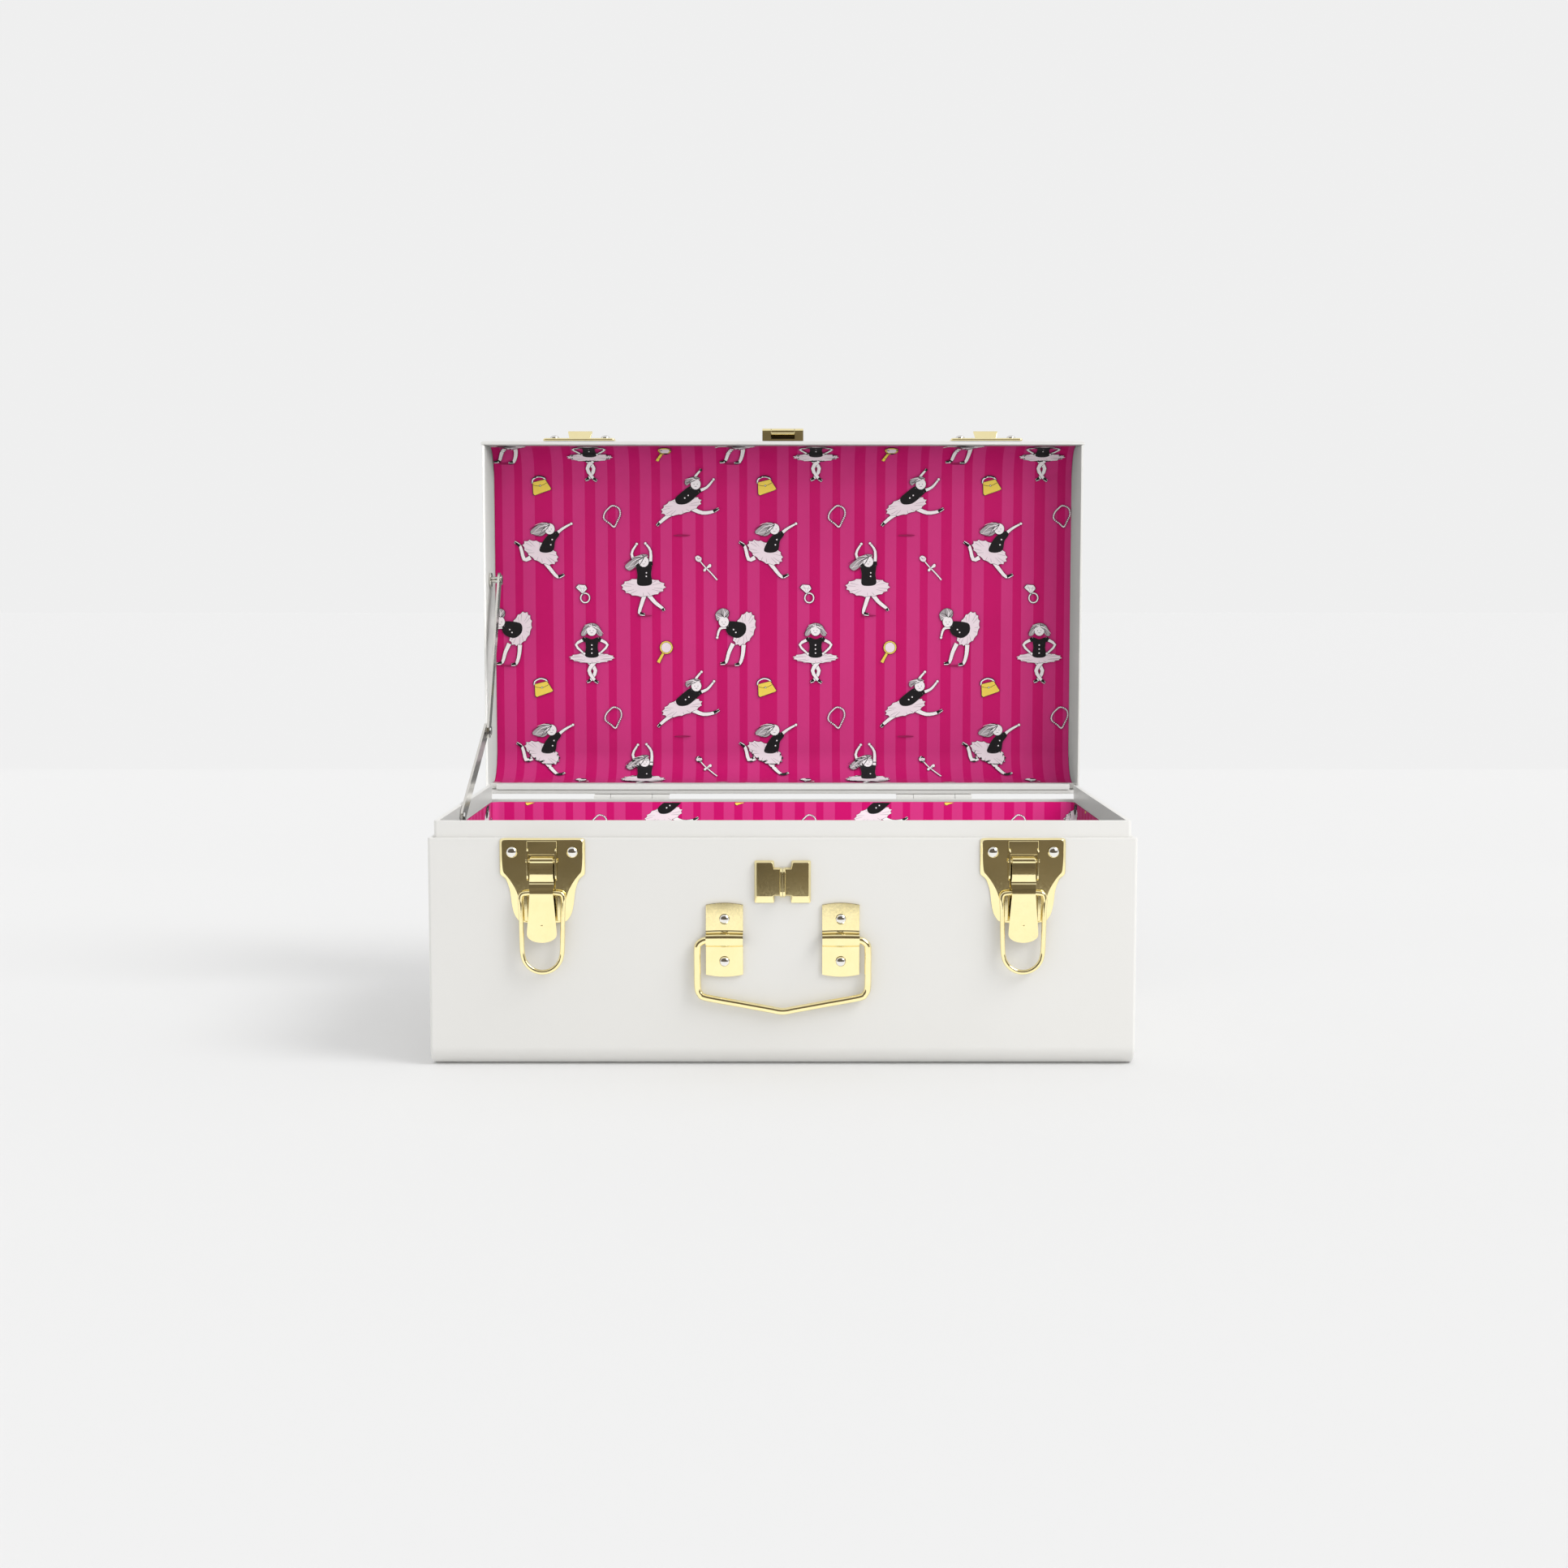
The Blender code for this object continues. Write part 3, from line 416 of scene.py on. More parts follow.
@dataclass(frozen=True)
class Graph:
    """A material's nodes, with short ways to add and join them."""

    material: bpy.types.Material

    @classmethod
    def start(cls, name: str) -> Graph:
        """A new material with a Principled shader.

        Args:
            name: The material's name.

        Returns:
            The graph.
        """
        material = bpy.data.materials.new(name)
        material.use_nodes = True
        return cls(material)

    @property
    def shader(self) -> bpy.types.Node:
        """The Principled shader."""
        return self.material.node_tree.nodes["Principled BSDF"]

    def add(self, kind: str, **values: object) -> bpy.types.Node:
        """Adds a node and sets its properties, and its inputs by name where it has them.

        Args:
            kind: The node's type.
            **values: Its properties and inputs.

        Returns:
            The node.
        """
        node = self.material.node_tree.nodes.new(kind)
        for key, value in values.items():
            socket = key.replace("_", " ").title()
            if hasattr(node, key):
                setattr(node, key, value)
            else:
                node.inputs[socket].default_value = value
        return node

    def link(self, source: bpy.types.NodeSocket, target: bpy.types.NodeSocket) -> None:
        """Joins two sockets."""
        self.material.node_tree.links.new(source, target)

    def place(self, scale: Sequence[float] = (1, 1, 1), uv: bool = False) -> bpy.types.NodeSocket:
        """Coordinates of the piece, in metres, stretched by a scale.

        Args:
            scale: How much the coordinates are stretched.
            uv: Whether they are the piece's own map.

        Returns:
            The socket.
        """
        source = self.add("ShaderNodeTexCoord").outputs["UV" if uv else "Object"]
        mapping = self.add("ShaderNodeMapping")
        mapping.inputs["Scale"].default_value = scale
        self.link(source, mapping.inputs["Vector"])
        return mapping.outputs["Vector"]

    def noise(self, place: bpy.types.NodeSocket, scale: float, detail: float = 3) -> bpy.types.NodeSocket:
        """A noise pattern's value.

        Args:
            place: The coordinates.
            scale: The pattern's scale.
            detail: Its detail.

        Returns:
            The socket.
        """
        node = self.add("ShaderNodeTexNoise", scale=scale, detail=detail)
        self.link(place, node.inputs["Vector"])
        return node.outputs["Fac"]

    def spread(self, value: bpy.types.NodeSocket, low: float, high: float) -> bpy.types.NodeSocket:
        """Maps the middle of a noise value to a range.

        Args:
            value: The noise value.
            low: The range's start.
            high: The range's end.

        Returns:
            The socket.
        """
        node = self.add("ShaderNodeMapRange")
        self.link(value, node.inputs["Value"])
        for name, number in (("From Min", 0.3), ("From Max", 0.7), ("To Min", low), ("To Max", high)):
            node.inputs[name].default_value = number
        return node.outputs["Result"]

    def tint(
        self, value: bpy.types.NodeSocket, low: Sequence[float], high: Sequence[float]
    ) -> bpy.types.NodeSocket:
        """A colour between two, led by a noise value.

        Args:
            value: The noise value.
            low: The first colour.
            high: The last colour.

        Returns:
            The socket.
        """
        ramp = self.add("ShaderNodeValToRGB")
        first, last = ramp.color_ramp.elements
        first.position, first.color = 0.3, (*low, 1)
        last.position, last.color = 0.7, (*high, 1)
        self.link(value, ramp.inputs["Fac"])
        return ramp.outputs["Color"]

    def bump(self, height: bpy.types.NodeSocket, depth: float) -> None:
        """Raises the surface by a height pattern of a real depth in metres.

        Args:
            height: The pattern.
            depth: Its depth in metres.
        """
        node = self.add("ShaderNodeBump")
        node.inputs["Distance"].default_value = depth
        self.link(height, node.inputs["Height"])
        self.link(node.outputs["Normal"], self.shader.inputs["Normal"])


@dataclass(frozen=True)
class Paint:
    """Sprayed satin paint with a faint orange peel."""

    name: str = "satin_white_paint"
    light: Triple = (0.785, 0.777, 0.752)
    dark: Triple = (0.77, 0.762, 0.737)
    gloss: tuple[float, float] = (0.34, 0.42)
    shine: float = 0.25
    peel: float = 0.000012
    peel_scale: float = 700

    def make(self) -> bpy.types.Material:
        """Builds the material.

        Returns:
            The material.
        """
        graph = Graph.start(self.name)
        place = graph.place()
        broad = graph.noise(place, 9, 4)
        graph.link(graph.tint(broad, self.dark, self.light), graph.shader.inputs["Base Color"])
        graph.link(graph.spread(graph.noise(place, 55, 4), *self.gloss), graph.shader.inputs["Roughness"])
        graph.shader.inputs["Specular IOR Level"].default_value = self.shine
        graph.bump(graph.noise(place, self.peel_scale, 2), self.peel)
        return graph.material


@dataclass(frozen=True)
class Metal:
    """Polished or brushed metal, with faint waves and fine scratches along one direction."""

    name: str
    bright: Triple
    dull: Triple
    gloss: tuple[float, float]
    grain: Triple = (1, 1, 1)
    grain_scale: float = 900
    wave: float = 0.00003
    wave_scale: float = 60

    def make(self) -> bpy.types.Material:
        """Builds the material.

        Returns:
            The material.
        """
        graph = Graph.start(self.name)
        graph.shader.inputs["Metallic"].default_value = 1
        place = graph.place()
        broad = graph.noise(place, 130, 4)
        graph.link(graph.tint(broad, self.dull, self.bright), graph.shader.inputs["Base Color"])
        fine = graph.noise(graph.place(self.grain), self.grain_scale, 2)
        graph.link(graph.spread(fine, *self.gloss), graph.shader.inputs["Roughness"])
        graph.bump(graph.noise(place, self.wave_scale, 1), self.wave)
        return graph.material


@dataclass(frozen=True)
class Stripes:
    """Printed card: stripes of two pinks that repeat, on paper with a fine tooth.

    The widths are in thousandths of the repeat, dark first.
    """

    name: str
    repeat: float
    start: float
    along_uv: bool = False
    dark: Triple = (0.60, 0.005, 0.145)
    light: Triple = (0.65, 0.037, 0.215)
    bounce: float = 0.22
    widths: tuple[int, ...] = (75, 51, 40, 53, 47, 56, 36, 60, 47, 54, 36, 54, 47, 56, 35, 60, 47, 54, 36, 56)

    def make(self) -> bpy.types.Material:
        """Builds the material.

        Returns:
            The material.
        """
        graph = Graph.start(self.name)
        place = graph.place(uv=self.along_uv)
        split = graph.add("ShaderNodeSeparateXYZ")
        graph.link(place, split.inputs["Vector"])
        turn = graph.add("ShaderNodeMath", operation="MULTIPLY_ADD")
        turn.inputs[1].default_value = 1 / self.repeat
        turn.inputs[2].default_value = -self.start / self.repeat
        graph.link(split.outputs["X"], turn.inputs[0])
        share = graph.add("ShaderNodeMath", operation="FRACT")
        graph.link(turn.outputs[0], share.inputs[0])
        ramp = graph.add("ShaderNodeValToRGB")
        ramp.color_ramp.interpolation = "CONSTANT"
        stops = ramp.color_ramp.elements
        total, reached = sum(self.widths), 0
        for index, width in enumerate(self.widths):
            stop = stops[index] if index < 2 else stops.new(reached / total)
            stop.position = reached / total
            stop.color = (*(self.light if index % 2 else self.dark), 1)
            reached += width
        graph.link(share.outputs[0], ramp.inputs["Fac"])
        paper = graph.place()
        mottle = graph.add("ShaderNodeMixRGB", blend_type="MULTIPLY")
        mottle.inputs["Fac"].default_value = 1
        graph.link(ramp.outputs["Color"], mottle.inputs["Color1"])
        graph.link(graph.tint(graph.noise(paper, 26, 4), (0.95,) * 3, (1, 1, 1)), mottle.inputs["Color2"])
        graph.link(mottle.outputs["Color"], graph.shader.inputs["Base Color"])
        graph.link(graph.spread(graph.noise(paper, 400, 3), 0.48, 0.6), graph.shader.inputs["Roughness"])
        graph.shader.inputs["Specular IOR Level"].default_value = 0.12
        graph.bump(graph.noise(paper, 1400, 3), 0.00002)
        self.calm_bounce(graph)
        return graph.material

    def calm_bounce(self, graph: Graph) -> None:
        """Keeps the pink from staining the white walls: light that the card passes on is a plain grey.

        Args:
            graph: The card's nodes.
        """
        grey = graph.add("ShaderNodeBsdfDiffuse")
        grey.inputs["Color"].default_value = (self.bounce, self.bounce, self.bounce, 1)
        path = graph.add("ShaderNodeLightPath")
        surface = graph.shader.outputs["BSDF"]
        for ray in ("Is Diffuse Ray", "Is Glossy Ray"):
            choice = graph.add("ShaderNodeMixShader")
            graph.link(path.outputs[ray], choice.inputs[0])
            graph.link(surface, choice.inputs[1])
            graph.link(grey.outputs["BSDF"], choice.inputs[2])
            surface = choice.outputs["Shader"]
        graph.link(surface, graph.material.node_tree.nodes["Material Output"].inputs["Surface"])


@dataclass(frozen=True)
class Ink:
    """A flat printed colour on the same paper."""

    name: str
    colour: Triple

    def make(self) -> bpy.types.Material:
        """Builds the material.

        Returns:
            The material.
        """
        graph = Graph.start(f"ink_{self.name}")
        graph.shader.inputs["Base Color"].default_value = (*self.colour, 1)
        graph.shader.inputs["Roughness"].default_value = 0.5
        graph.shader.inputs["Specular IOR Level"].default_value = 0.2
        graph.bump(graph.noise(graph.place(), 1400, 3), 0.00002)
        return graph.material


class Inks(Enum):
    """Colours of the printed figures, in slot order."""

    OUTLINE = Ink("outline", (0.03, 0.024, 0.028))
    BLACK = Ink("black", (0.015, 0.013, 0.015))
    BLUSH = Ink("blush", (0.88, 0.74, 0.80))
    WHITE = Ink("white", (0.93, 0.86, 0.88))
    GREY = Ink("grey", (0.42, 0.37, 0.39))
    GOLD = Ink("gold", (0.90, 0.66, 0.10))
    SHADE = Ink("shade", (0.34, 0.008, 0.09))


class Palette:
    """Every material of the case, built once."""

    def __init__(self) -> None:
        """Builds the materials."""
        self.paint = Paint().make()
        self.brass = Metal("polished_brass", (0.97, 0.86, 0.50), (0.95, 0.83, 0.46), (0.05, 0.10)).make()
        self.nickel = Metal("bright_nickel", (0.80, 0.79, 0.77), (0.76, 0.75, 0.73), (0.06, 0.12)).make()
        self.steel = Metal(
            "brushed_stay_steel",
            (0.76, 0.74, 0.70),
            (0.71, 0.69, 0.65),
            (0.18, 0.23),
            grain=(1, 0.06, 1),
            grain_scale=1500,
        ).make()
        # painted shade: near-black brass for the sheet that stands in for the shade in the hasp's hollow
        self.shaded_brass = Metal(
            "shaded_brass", (0.10, 0.075, 0.04), (0.05, 0.04, 0.02), (0.30, 0.40)
        ).make()
        self.lid_card = Stripes("striped_lid_card", LID_REPEAT * MM, -16.2 * MM).make()
        self.base_card = Stripes("striped_base_card", BASE_REPEAT * MM, 0.0, along_uv=True).make()
        self.inks = [ink.value.make() for ink in Inks]

    def of_slot(self, slot: Slot) -> bpy.types.Material:
        """The plain material of a record slot.

        Args:
            slot: The slot.

        Returns:
            The material.
        """
        return {
            Slot.PAINT: self.paint,
            Slot.BRASS: self.brass,
            Slot.NICKEL: self.nickel,
            Slot.STEEL: self.steel,
            Slot.CARD: self.lid_card,
        }[slot]


# Sheet metal


def body_of(node: str) -> str:
    """The body that a frame node rides on."""
    return frame["nodes"][node]["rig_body"]


def soft_copy(node: str, name: str, round_width: float, segments: int = 2) -> bpy.types.Object:
    """A welded copy of a frame node, its flat faces cleaned and its edges rounded.

    Args:
        node: The frame node.
        name: The new piece's name.
        round_width: Width of the round on its edges.
        segments: Steps across the round.

    Returns:
        The copy.
    """
    obj = bpy.data.objects.new(name, frame["nodes"][node].data.copy())
    obj.data.name = name
    bpy.context.scene.collection.objects.link(obj)
    with editing(obj, "VERT"):
        bpy.ops.mesh.select_all(action="SELECT")
        bpy.ops.mesh.remove_doubles(threshold=0.002 * MM)
        bpy.ops.mesh.dissolve_limited(angle_limit=math.radians(0.5))
    activate(obj)
    if obj.data.has_custom_normals:
        bpy.ops.mesh.customdata_custom_splitnormals_clear()
    return soften(obj, round_width, segments)


@dataclass
class SheetWork:
    """Parts whose shape the frame gives already: their edges are rounded as folded or cut sheet is."""

    palette: Palette
    finishes: dict[str, tuple[Slot, float]] = field(
        default_factory=lambda: {
            "base_wrap": (Slot.PAINT, 0.5 * MM),
            "base_end_left": (Slot.PAINT, 0.5 * MM),
            "base_end_right": (Slot.PAINT, 0.5 * MM),
            "lid_wrap": (Slot.PAINT, 0.5 * MM),
            "lid_end_left": (Slot.PAINT, 0.5 * MM),
            "lid_end_right": (Slot.PAINT, 0.5 * MM),
            "lid_hinge_rail": (Slot.PAINT, 0.7 * MM),
            "hinge_left_base_leaf": (Slot.PAINT, 0.2 * MM),
            "hinge_left_lid_leaf": (Slot.PAINT, 0.2 * MM),
            "hinge_right_base_leaf": (Slot.PAINT, 0.2 * MM),
            "hinge_right_lid_leaf": (Slot.PAINT, 0.2 * MM),
            "strike_left": (Slot.BRASS, 0.6 * MM),
            "strike_right": (Slot.BRASS, 0.6 * MM),
            "hasp_leaf": (Slot.BRASS, 0.6 * MM),
            "hasp_flap": (Slot.BRASS, 0.6 * MM),
            "stay_lower_link": (Slot.STEEL, 0.25 * MM),
            "stay_upper_link": (Slot.STEEL, 0.25 * MM),
        }
    )
    tab_depth: float = 2.5 * MM
    tab_overlap: float = 0.8 * MM
    tab_round: float = 0.6 * MM
    lip_start: float = 2.9 * MM
    lip_lean: float = 3.4 * MM

    def build(self) -> None:
        """Makes every part, dresses it and fixes it to its body."""
        for node, (slot, round_width) in self.finishes.items():
            piece = soft_copy(node, f"{node}_rounded", round_width)
            if node == "lid_hinge_rail":
                piece = self.widened(piece)
            if node.startswith("strike"):
                self.curl(piece)
            hand_in(piece, body_of(node), slot, [node], self.palette.of_slot(slot))

    def widened(self, piece: bpy.types.Object) -> bpy.types.Object:
        """The rail drawn out to the lid's end walls by tabs that clear the collar when the lid is shut.

        Args:
            piece: The rail.

        Returns:
            The rail with its tabs.
        """
        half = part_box("lid_end_right")[0].x
        low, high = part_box("lid_hinge_rail")
        parts = [piece]
        for side in (-1, 1):
            start, end = sorted((side * (high.x - self.tab_overlap), side * half))
            tab = block("tab", (start, high.y - self.tab_depth, low.z), (end, high.y, high.z))
            parts.append(soften(tab, self.tab_round))
        return merged(piece.name, parts)

    def curl(self, piece: bpy.types.Object) -> None:
        """Leans a strike's lip back from the draw of the bail, above a height over its foot.

        Args:
            piece: The strike.
        """
        heights = [vertex.co.z for vertex in piece.data.vertices]
        foot, top = min(heights) + self.lip_start, max(heights)
        for vertex in piece.data.vertices:
            if vertex.co.z > foot:
                vertex.co.y += self.lip_lean * (vertex.co.z - foot) / (top - foot)

    def dress_rest(self) -> None:
        """Gives the frame nodes that still show their finish."""
        for name, node in frame["nodes"].items():
            if node.hide_render:
                continue
            slot = self.slot_of(name)
            node.data.materials.clear()
            node.data.materials.append(self.palette.of_slot(slot))
            LOG.info("%s keeps its own shape in %s", name, slot.value)

    @staticmethod
    def slot_of(name: str) -> Slot:
        """The finish of a frame node, by its name.

        Args:
            name: The node's name.

        Returns:
            The slot.
        """
        if "lining" in name:
            return Slot.CARD
        if "rivet" in name:
            return Slot.NICKEL
        if name.startswith("stay"):
            return Slot.STEEL
        if name.startswith(("base", "lid", "hinge")):
            return Slot.PAINT
        return Slot.BRASS


@dataclass
class Collar:
    """The rolled collar round the base's front and sides, folded from one strip."""

    palette: Palette
    bend: float = 2.2 * MM
    lip: float = 1.1 * MM
    flange_inset: float = 1.2 * MM
    flange_drop: float = 1.5 * MM
    slant_run: float = 3 * MM

    def build(self) -> None:
        """Makes the strip: a frame of metal, open at the rear, with its rear ends cut on a slant."""
        front_low, front_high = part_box("base_collar_front")
        side_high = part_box("base_collar_left")[1]
        thick = front_high.y - front_low.y
        outer = block("collar_strip", front_low, (front_high.x, side_high.y, front_high.z))
        hollow_low = (front_low.x + thick, front_low.y + thick, front_low.z - thick)
        hollow_high = (front_high.x - thick, side_high.y + thick, front_high.z + thick)
        self.round_upright(outer, self.bend)
        hollow = block("collar_hollow", hollow_low, hollow_high)
        self.round_upright(hollow, self.bend / 2)
        strip = carve(outer, hollow)
        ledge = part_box("base_wrap")[1].z
        flange = block(
            "collar_flange",
            (front_low.x + self.flange_inset, front_low.y + self.flange_inset, front_low.z - thick),
            (front_high.x - self.flange_inset, side_high.y + thick, ledge - self.flange_drop),
        )
        self.round_upright(flange, self.bend / 2)
        strip = carve(strip, flange)
        self.slant(strip, side_high.y, ledge, front_high.z)
        soften(strip, self.lip, 4, 40)
        hand_in(
            strip,
            Body.BASE.value,
            Slot.PAINT,
            ["base_collar_front", "base_collar_left", "base_collar_right"],
            self.palette.paint,
        )

    @staticmethod
    def round_upright(obj: bpy.types.Object, radius: float) -> None:
        """Rounds the upright corners.

        Args:
            obj: The piece.
            radius: The corners' radius.
        """
        with editing(obj, "EDGE"):
            pick_edges(obj, lambda _, along: abs(along.z) > 0.99)
            bpy.ops.mesh.bevel(offset=radius, segments=5, affect="EDGES")

    def slant(self, obj: bpy.types.Object, rear: float, ledge: float, top: float) -> None:
        """Leans the rear ends forward below the top.

        Args:
            obj: The strip.
            rear: Where its rear ends stand.
            ledge: The height of the base's ledge.
            top: The height of the strip's top.
        """
        for vertex in obj.data.vertices:
            if vertex.co.y > rear - 0.1 * MM:
                share = min(max((top - vertex.co.z) / (top - ledge), 0), 1)
                vertex.co.y -= self.slant_run * share


# Hardware


@dataclass
class SmallFittings:
    """The stay's post on the lid, and a dark sheet of painted shade in the hollow behind the hasp's knuckle."""

    palette: Palette
    foot_radius: float = 5.0 * MM
    foot_thick: float = 1.4 * MM
    stem_radius: float = 2.2 * MM
    head_radius: float = 3.4 * MM
    head_thick: float = MM
    hollow_inset: float = 1.2 * MM
    hollow_depths: tuple[float, float] = (5 * MM, 6 * MM)
    hollow_gaps: tuple[float, float] = (0.2 * MM, 1.6 * MM)

    def build(self) -> None:
        """Makes both."""
        self.make_post()
        self.make_hollow_shade()

    def make_post(self) -> None:
        """The post: a round foot on the lid's wall, a stem and a head."""
        low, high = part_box("stay_lid_bracket")
        middle = (low + high) / 2
        sections = (
            (self.foot_radius, low.x, low.x + self.foot_thick),
            (self.stem_radius, low.x, high.x),
            (self.head_radius, high.x - self.head_thick, high.x),
        )
        rods = []
        for radius, start, end in sections:
            rod = rod_x("post", radius, end - start, ((start + end) / 2, middle.y, middle.z))
            rods.append(soften(rod, 0.25 * MM, 2, 60))
        post = merged("stay_lid_post", rods)
        hand_in(post, Body.LID.value, Slot.STEEL, ["stay_lid_bracket"], self.palette.steel)

    def make_hollow_shade(self) -> None:
        """The hollow's painted shade: a dark sheet behind the leaf's front, standing in for the shade there."""
        low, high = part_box("hasp_leaf")
        front, rear = self.hollow_depths
        below, above = self.hollow_gaps
        back = block(
            "hasp_hollow",
            (low.x + self.hollow_inset, low.y + front, low.z + below),
            (high.x - self.hollow_inset, low.y + rear, high.z - above),
        )
        # the dark sheet is painted shade, not a dark finish of the real brass
        hand_in(soften(back, 0.2 * MM), Body.LID.value, Slot.BRASS, [], self.palette.shaded_brass)


@dataclass
class Rivets:
    """Domed nickel rivet heads, each seated on its own plate."""

    palette: Palette
    edge: float = 0.3 * MM

    def build(self) -> None:
        """Makes a head for every rivet node but the stay's, turned to the wall that it stands on."""
        for name in sorted(frame["nodes"]):
            if "rivet" not in name or name.startswith("stay"):
                continue
            low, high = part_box(name)
            radius = (high.x - low.x) / 2
            upright = high.z - low.z > high.y - low.y
            height = high.y - low.y if upright else high.z - low.z
            head = self.head(f"{name}_dome", radius, height)
            if upright:
                head.rotation_euler = (math.pi / 2, 0, 0)
                head.location = ((low.x + high.x) / 2, high.y, (low.z + high.z) / 2)
            else:
                head.location = ((low.x + high.x) / 2, (low.y + high.y) / 2, low.z)
            hand_in(settle(head), body_of(name), Slot.NICKEL, [name], self.palette.nickel)

    def head(self, name: str, radius: float, height: float) -> bpy.types.Object:
        """A dome that stands up Z from a short straight edge.

        Args:
            name: Its name.
            radius: Its radius.
            height: Its height.

        Returns:
            The head.
        """
        deselect()
        bpy.ops.mesh.primitive_uv_sphere_add(segments=32, ring_count=20, radius=radius)
        obj = named(name)
        with editing(obj):
            bpy.ops.mesh.select_all(action="SELECT")
            bpy.ops.mesh.bisect(plane_co=(0, 0, 0), plane_no=(0, 0, 1), clear_inner=True, use_fill=True)
        for vertex in obj.data.vertices:
            if vertex.co.z > 1e-6:
                vertex.co.z = self.edge + vertex.co.z / radius * (height - self.edge)
        return smooth(obj, 50)


def contoured(name: str, rings: Sequence[Sequence[Sequence[float]]]) -> bpy.types.Object:
    """A closed solid drawn out ring by ring from one flat face.

    Args:
        name: The piece's name.
        rings: Rings of corners, all with as many corners and in the same order.

    Returns:
        The solid, its faces outwards.
    """
    deselect()
    bpy.ops.mesh.primitive_circle_add(vertices=len(rings[0]), radius=1, fill_type="NGON")
    obj = named(name)
    for vertex, corner in zip(obj.data.vertices, rings[0]):
        vertex.co = corner
    with editing(obj):
        bpy.ops.mesh.select_all(action="SELECT")
        last = [Vector(corner) for corner in rings[0]]
        for ring in rings[1:]:
            bpy.ops.mesh.extrude_region_move()
            bm = bmesh.from_edit_mesh(obj.data)
            for vertex in [vertex for vertex in bm.verts if vertex.select]:
                nearest = min(range(len(last)), key=lambda i: (last[i] - vertex.co).length_squared)
                vertex.co = ring[nearest]
            last = [Vector(corner) for corner in ring]
            bmesh.update_edit_mesh(obj.data)
        bpy.ops.mesh.select_mode(type="EDGE")
        bpy.ops.mesh.select_all(action="DESELECT")
        bpy.ops.mesh.select_non_manifold(extend=False, use_boundary=True)
        bpy.ops.mesh.edge_face_add()
        bpy.ops.mesh.select_all(action="SELECT")
        bpy.ops.mesh.normals_make_consistent(inside=False)
    return obj


def between(foot: Sequence[Point], face: Sequence[Point], share: float) -> list[Point]:
    """An outline part of the way from a pressing's foot to its face."""
    return [(a[0] + (b[0] - a[0]) * share, a[1] + (b[1] - a[1]) * share) for a, b in zip(foot, face)]


def smooth_path(points: Sequence[Sequence[float]], steps: int, closed: bool = False) -> list[Vector]:
    """A path that runs smoothly through points of any number of axes.

    Args:
        points: The points.
        steps: Steps from each point to the next.
        closed: Whether the last point runs back to the first.

    Returns:
        The points along the path.
    """
    knots = [Vector(point) for point in points]
    count = len(knots)
    path = []
    for i in range(count if closed else count - 1):
        if closed:
            a, b, c, d = (knots[(i + k) % count] for k in (-1, 0, 1, 2))
        else:
            a, b, c, d = (knots[min(max(i + k, 0), count - 1)] for k in (-1, 0, 1, 2))
        for step in range(steps):
            t = step / steps
            square, cube = 2 * a - 5 * b + 4 * c - d, 3 * b - a - 3 * c + d
            path.append(0.5 * (2 * b + (c - a) * t + square * t**2 + cube * t**3))
    return path if closed else [*path, knots[-1]]


def bent_wire(name: str, path: Sequence[Vector], thickness: float, closed: bool) -> bpy.types.Object:
    """A round wire along a path, with round ends where it isn't a loop.

    Args:
        name: The wire's name.
        path: Its path.
        thickness: Its thickness.
        closed: Whether it is a loop.

    Returns:
        The wire.
    """
    curve = bpy.data.curves.new(name, "CURVE")
    curve.dimensions = "3D"
    curve.bevel_depth = thickness / 2
    curve.bevel_resolution = 7
    curve.use_fill_caps = not closed
    spline = curve.splines.new("POLY")
    spline.points.add(len(path) - 1)
    for target, point in zip(spline.points, path):
        target.co = (*point, 1)
    spline.use_cyclic_u = closed
    obj = bpy.data.objects.new(name, curve)
    bpy.context.scene.collection.objects.link(obj)
    activate(obj)
    bpy.ops.object.convert(target="MESH")
    obj = named(name)
    if not closed:
        soften(obj, thickness * 0.2, 3, 60)
    return smooth(obj, 50)


